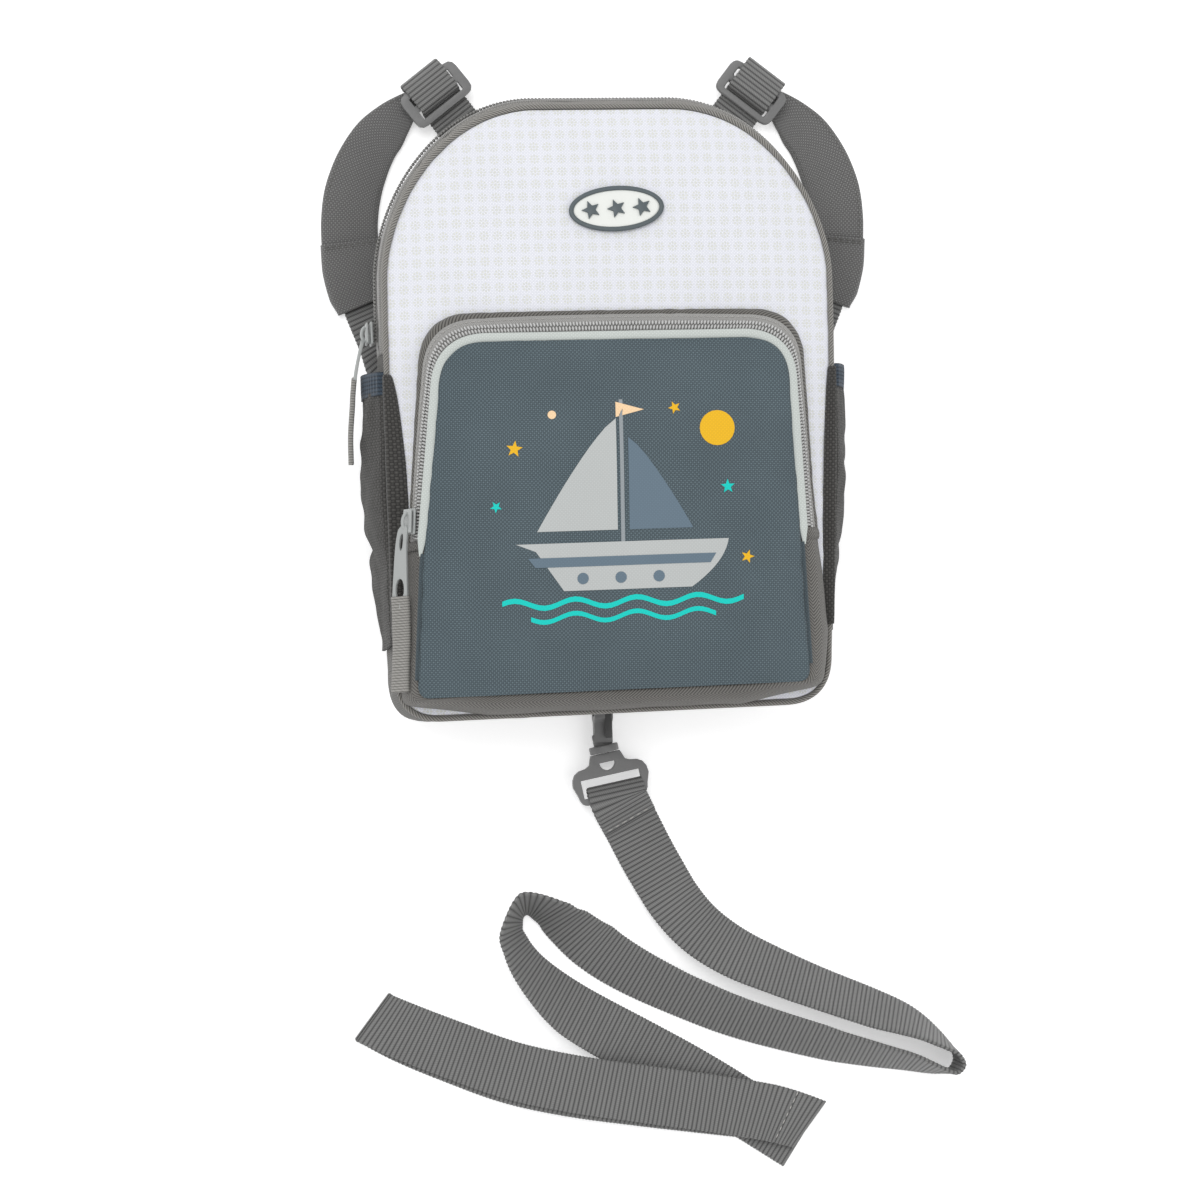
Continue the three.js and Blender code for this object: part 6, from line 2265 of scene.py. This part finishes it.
@dataclass
class Lead:
    """Hook, swivel frame and webbing of the lead, with its hand loop.

    Attributes:
        kit: Mesh maker.
        width: Width of the webbing.
        thickness: Thickness of the webbing.
        frame_turn: Turn of the swivel frame in degrees.
        lead_turn: Further turn of the webbing past the bar.
        lead_slip: Shift of the webbing along the bar.
        turn_length: Length over which the webbing turns.
        stitch_distance: Distance of the seam past the bar.
        hand_spacing: Distance between the hand loop's two layers.
    """

    kit: Kit
    width: float = 25.0
    thickness: float = 1.6
    frame_turn: float = 11.0
    lead_turn: float = 17.0
    lead_slip: float = 1.2
    turn_length: float = 1.5
    stitch_distance: float = 12.5
    hand_spacing: float = 2.4

    @staticmethod
    def heading(turn: float) -> Vector:
        """Direction away from the hook for a turn in degrees."""
        across = flat_direction(turn)
        return Vector((across.y, -across.x, 0))

    def block(
        self,
        name: str,
        place: Vector,
        turn: float,
        size: tuple[float, float, float],
        rounding: tuple[float, int],
        finish: Finish,
        nodes: Sequence[str],
    ) -> None:
        """Builds a rounded block.

        Args:
            name: Name of the piece.
            place: Its middle.
            turn: Turn round the upright axis in radians.
            size: Its three sizes.
            rounding: Width and segments of its rounding.
            finish: Its finish.
            nodes: CAD nodes it replaces.
        """
        bm = bmesh.new()
        whole = Matrix.Scale(MM, 4) @ Matrix.Translation(place) @ Matrix.Rotation(turn, 4, "Z")
        bmesh.ops.create_cube(bm, size=1.0, matrix=whole @ Matrix.Diagonal((*size, 1)))
        round_edges(bm, rounding[0] * MM, rounding[1])
        self.kit.piece(name, bm, finish, nodes)

    def hook(self) -> None:
        """Builds the moulded parts."""
        for node, bevel, name in (
            ("snap_hook", 0.8, "hook_body"),
            ("hook_swivel_frame", 0.8, "swivel_frame_body"),
            ("hook_collar", 0.5, "swivel_collar"),
        ):
            self.kit.piece(name, self.kit.hard_copy(node, bevel, 3), PLASTIC, [node], sharp=60)
        hook_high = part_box("snap_hook")[1] / MM
        collar_low, collar_high = (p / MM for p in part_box("hook_collar"))
        middle = (collar_low + collar_high) / 2
        neck = Vector((middle.x, middle.y, middle.z + 0.4)) - self.heading(self.frame_turn) * 3.4
        turn = math.radians(self.frame_turn)
        self.block("swivel_neck", neck, turn, (8.2, 7.0, 3.4), (0.9, 4), PLASTIC, ["snap_hook"])
        # Gate of the hook in dark plastic, whose darkness also paints the shade of the recess in the stem.
        gate = Vector((middle.x + 1.6, collar_high.y + 10.5, hook_high.z - 0.9))
        self.block("hook_gate_with_painted_shade", gate, 0, (3.0, 17.0, 2.2), (0.5, 3), DARK_PLASTIC, [])
        ring = self.kit.hard_copy("harness_ring", 0.3, 1, angle=20)
        self.kit.piece("ring_body", ring, PLASTIC, ["harness_ring"])
        self.kit.piece("ring_tab_band", self.kit.hard_copy("harness_tab", 0.3, 2), WEBBING, ["harness_tab"])

    def fold(self) -> tuple[Vector, Vector]:
        """Builds the sewn fold of webbing round the frame's bar.

        Returns:
            The place where the fold ends and the direction of its width.
        """
        low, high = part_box("leash_hook_fold")
        heading = self.heading(self.frame_turn)
        centre = Vector(((low.x + high.x) / 2, (low.y + high.y) / 2, 0)) / MM
        corners = [v.co / MM for v in self.kit.frame["nodes"]["leash_hook_fold"].data.vertices]
        reach = [(p - centre).dot(heading) for p in corners]
        first, end = min(reach), max(reach)
        high_radius, wide_radius = 3.2, 5.2
        bar, bar_height = first + 4.4, 6.8

        def spot(distance: float) -> tuple[Vector, Vector]:
            """Point and direction across at a distance, past which bar the webbing turns."""
            turn = self.frame_turn
            place = centre + heading * min(distance, bar) + flat_direction(turn) * self.lead_slip
            count = 12
            for k in range(count if distance > bar else 0):
                at = (k + 0.5) / count * (distance - bar)
                turn = self.frame_turn + self.lead_turn * clamp(at / self.turn_length)
                place = place + self.heading(turn) * ((distance - bar) / count)
            return place, flat_direction(turn)

        seam_at = bar + self.stitch_distance
        # Distance and height of the fold's middle line, from its upper end round the bar to its lower end.
        view = [(end + 1, 1.35), (end - 1.5, 1.7), (seam_at, 3.3), (bar + 3.2, bar_height + 2.2)]
        around = [math.radians(t) for t in (5, 35, 65, 95, 125, 150)]
        view += [(bar - wide_radius * math.sin(t), bar_height + high_radius * math.cos(t)) for t in around]
        view += [(bar + 3.6, bar_height - 3.9), (seam_at - 3, 1.4), (seam_at + 2.2, 1.15)]
        rows = []
        for distance, z in view:
            place, across = spot(distance)
            rows.append((place + Vector((0, 0, z)), across, 1.0))
        Ribbon(self.kit, self.width, self.thickness).make("lead_fold", rows, WEBBING, ["leash_hook_fold"])
        seam = Stitches(self.kit, "lead_fold_stitches", PALE_THREAD, 0.5)
        place, across = spot(seam_at - 0.5)
        place = place + Vector((0, 0, 3.3 + self.thickness / 2 + 0.85))
        side = self.width / 2 - 0.5
        seam.row([place + across * x for x in steps(-side, side, 20)], 2.6, 1.0, 0.35)
        seam.done()
        return spot(end)

    def run(self) -> None:
        """Builds the long webbing that stands and leans on its edge."""
        end, across = self.fold()
        half = self.width / 2
        heading = Vector((across.y, -across.x, 0))
        begin = end + across * half - heading * 1.0
        rows = [(begin.x, begin.y, 0.0), (begin.x + heading.x * 3, begin.y + heading.y * 3, 0.0), *LEASH_ROUTE]
        count = 400
        foot = smooth_line([Vector((x, y, 0)) for x, y, _ in rows], count)
        marks = [0.0]
        for a, b in zip(rows, rows[1:]):
            marks.append(marks[-1] + math.hypot(b[0] - a[0], b[1] - a[1]))
        lengths = run_lengths(foot)
        made = []
        for i in range(0, count + 1, 4):
            at = lengths[i] / lengths[-1] * marks[-1]
            k = min(max(bisect_right(marks, at) - 1, 0), len(rows) - 2)
            share = clamp((at - marks[k]) / (marks[k + 1] - marks[k]))
            tilt = math.radians(mix(rows[k][2], rows[k + 1][2], share))
            way = (foot[min(i + 1, count)] - foot[max(i - 1, 0)]).normalized()
            side = Vector((way.y, -way.x, 0)) * math.cos(tilt) + Vector((0, 0, math.sin(tilt)))
            p = foot[i] + Vector((0, 0, GAP + self.thickness / 2 * math.cos(tilt) + 0.2))
            made.append((p + side * half, side, 1.0))
        Ribbon(self.kit, self.width, self.thickness).make("lead_webbing", made, WEBBING, ["leash_webbing"])

    def hand(self) -> None:
        """Builds the flattened hand loop and its sewn end."""
        low = GAP + self.thickness / 2

        def layer(lift: float) -> list[Cross]:
            return [(Vector((x, y, low + z + lift)), flat_direction(turn), 1.0) for x, y, turn, z in HAND_ROUTE]

        lower, upper = layer(0), layer(self.hand_spacing)
        last_row, slip = len(lower) - 1, 2.2
        lower = [
            (middle - across * (slip * math.sin(math.pi * i / last_row) ** 0.7), across, wide)
            for i, (middle, across, wide) in enumerate(lower)
        ]
        place, across, _ = lower[-1]
        out = across.cross(Vector((0, 0, -1)))
        reach = self.hand_spacing / 2
        bend = []
        for t in (-60, 0, 60):
            a = math.radians(t)
            middle = place + out * (reach * math.cos(a)) + Vector((0, 0, reach * (1 + math.sin(a))))
            bend.append((middle, across, 1.0))
        last = (Vector((84, -317.5, low + HAND_ROUTE[0][3] + GAP)), flat_direction(52), 1.0)
        rows = [*lower, *bend, *reversed(upper), last]
        Ribbon(self.kit, self.width, self.thickness).make("hand_loop_webbing", rows, WEBBING, ["hand_loop"])
        seam = Stitches(self.kit, "hand_loop_stitches", PALE_THREAD, 0.5)
        start, stop = Vector((79.5, -301.5, 6.9)), Vector((67.5, -324.5, 6.9))
        seam.row([start.lerp(stop, s) for s in steps(0, 1, 20)], 2.4, 1.0, 0.3)
        seam.done()

    def build(self) -> None:
        """Builds the whole lead."""
        self.hook()
        self.run()
        self.hand()


@dataclass
class Studio:
    """Camera, floor and soft light.

    Attributes:
        distance: Distance of the camera in millimetres.
        target: Point that it looks at.
        from_left: Lean of the camera to the left in degrees.
        from_foot: Lean of the camera to the foot in degrees.
        roll: Roll of the camera in degrees.
        lens: Focal length on a 36 mm sensor.
    """

    distance: float = 1590.0
    target: tuple[float, float, float] = (-2.4, -84.0, 0.0)
    from_left: float = 6.5
    from_foot: float = 2.0
    roll: float = 1.5
    lens: float = 108.0

    def camera(self) -> None:
        """Makes the camera of the photograph's view."""
        left, foot = math.tan(math.radians(self.from_left)), math.tan(math.radians(self.from_foot))
        back = Vector((-left, -foot, 1)).normalized()
        place = Vector(self.target) + back * self.distance
        right = Vector((0, 1, 0)).cross(back).normalized()
        up = back.cross(right)
        a = math.radians(self.roll)
        rolled_right = right * math.cos(a) - up * math.sin(a)
        rolled_up = right * math.sin(a) + up * math.cos(a)
        data = bpy.data.cameras.new("photo_camera")
        data.lens, data.sensor_width = self.lens, 36.0
        data.clip_start, data.clip_end = 0.05, 20.0
        made = bpy.data.objects.new("photo_camera", data)
        matrix = Matrix((rolled_right, rolled_up, back)).transposed().to_4x4()
        matrix.translation = place * MM
        made.matrix_world = matrix
        bpy.context.scene.collection.objects.link(made)
        bpy.context.scene.camera = made

    def lights(self) -> None:
        """Makes the world and two large soft lights."""
        world = bpy.data.worlds.new("studio_world")
        world.use_nodes = True
        world.node_tree.nodes["Background"].inputs["Color"].default_value = (1, 1, 1, 1)
        world.node_tree.nodes["Background"].inputs["Strength"].default_value = 0.74
        bpy.context.scene.world = world
        for name, place, size, power in (
            ("key", (-0.45, 0.6, 1.6), 1.1, 10.5),
            ("fill", (0.8, -0.5, 1.4), 1.2, 3.6),
        ):
            data = bpy.data.lights.new(name, "AREA")
            data.shape, data.size, data.energy = "DISK", size, power
            made = bpy.data.objects.new(name, data)
            made.location = place
            made.rotation_euler = (Vector((0, -0.05, 0)) - Vector(place)).to_track_quat("-Z", "Y").to_euler()
            bpy.context.scene.collection.objects.link(made)

    def floor(self) -> None:
        """Makes the pale floor."""
        bm = bmesh.new()
        bmesh.ops.create_grid(bm, x_segments=2, y_segments=2, size=4.0)
        mesh = bpy.data.meshes.new("floor")
        bm.to_mesh(mesh)
        bm.free()
        material = bpy.data.materials.new("floor_white")
        material.use_nodes = True
        shader = material.node_tree.nodes["Principled BSDF"]
        shader.inputs["Base Color"].default_value = (0.96, 0.96, 0.965, 1)
        shader.inputs["Roughness"].default_value = 0.9
        shader.inputs["Specular IOR Level"].default_value = 0.1
        shader.inputs["Emission Color"].default_value = (1, 1, 1, 1)
        shader.inputs["Emission Strength"].default_value = 0.4
        mesh.materials.append(material)
        made = bpy.data.objects.new("floor", mesh)
        bpy.context.scene.collection.objects.link(made)

    def build(self) -> None:
        """Builds the studio."""
        self.camera()
        self.lights()
        self.floor()
        view = bpy.context.scene.view_settings
        view.view_transform, view.look = "Standard", "None"


def write_sizes() -> None:
    """Updates the view layer after the pieces are made."""
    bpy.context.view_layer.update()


def main_zip_pull(kit: Kit, form: BagForm) -> None:
    """Builds the slider, puller and knotted pull tape of the main zip.

    Args:
        kit: Mesh maker.
        form: Surfaces of the bag.
    """
    middle = form.strip + GAP + form.tape / 2
    turn = 2 - form.share_at(form.zip_end + 8)
    place = form.wall(turn, middle)
    ahead = form.wall(turn - 0.004, middle) - form.wall(turn + 0.004, middle)
    down = form.wall(turn, middle + 0.5) - form.wall(turn, middle - 0.5)
    up = down.cross(ahead).normalized()
    if up.dot(form.outward(place)) < 0:
        up.negate()
    along = ahead.normalized()
    foot = form.settle(place + up * (1.6 + 2 * GAP + 0.4))
    pull = ZipPull(kit, "main_zip")
    pull.slider("main_zip_slider", foot, along, up.cross(along).normalized(), up, 10, 7)

    def hang(rows: Sequence[tuple[float, float]]) -> list[Vector]:
        made = []
        for y, off in rows:
            p = form.wall(2 - form.share_at(y), middle)
            made.append(form.settle(Vector((p.x - off, y, p.z))))
        return made

    side = Vector((0, 0, 1))
    end = form.zip_end
    plate = hang([(end + 5, 6.6), (end - 4, 9.2), (end - 13, 10.6)])
    pull.puller("main_zip_puller", plate, side, (4.4, 5.6), 1.4)
    ribbon = hang([(end - 11, 10.6), (end - 18, 11.4), (end - 24, 11.9), (end - 36, 13), (end - 48, 13.2)])
    pull.tape("main_zip_pull_tape", ribbon, side, (5.0, 5.4, 6.8, 5.0, 5.2, 6.2), 2.3, "main_pull_ribbon")


def main() -> None:
    """Builds the scene piece by piece."""
    logging.basicConfig(level=logging.INFO, format="%(message)s")
    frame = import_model()
    Studio().build()
    kit = Kit(frame, Finishes())
    bag = BagForm()
    BagBody(kit, bag).build()
    FrontPocket(kit, PocketForm(bag)).build()
    SidePockets(kit, bag).build()
    Badge(kit, bag).build()
    for side, flip in (("left", -1.0), ("right", 1.0)):
        Harness(kit, bag, side, flip).build()
    Lead(kit).build()
    main_zip_pull(kit, bag)
    write_sizes()
    LOG.info("%d pieces made", kit.count)


if __name__ == "__main__":
    main()
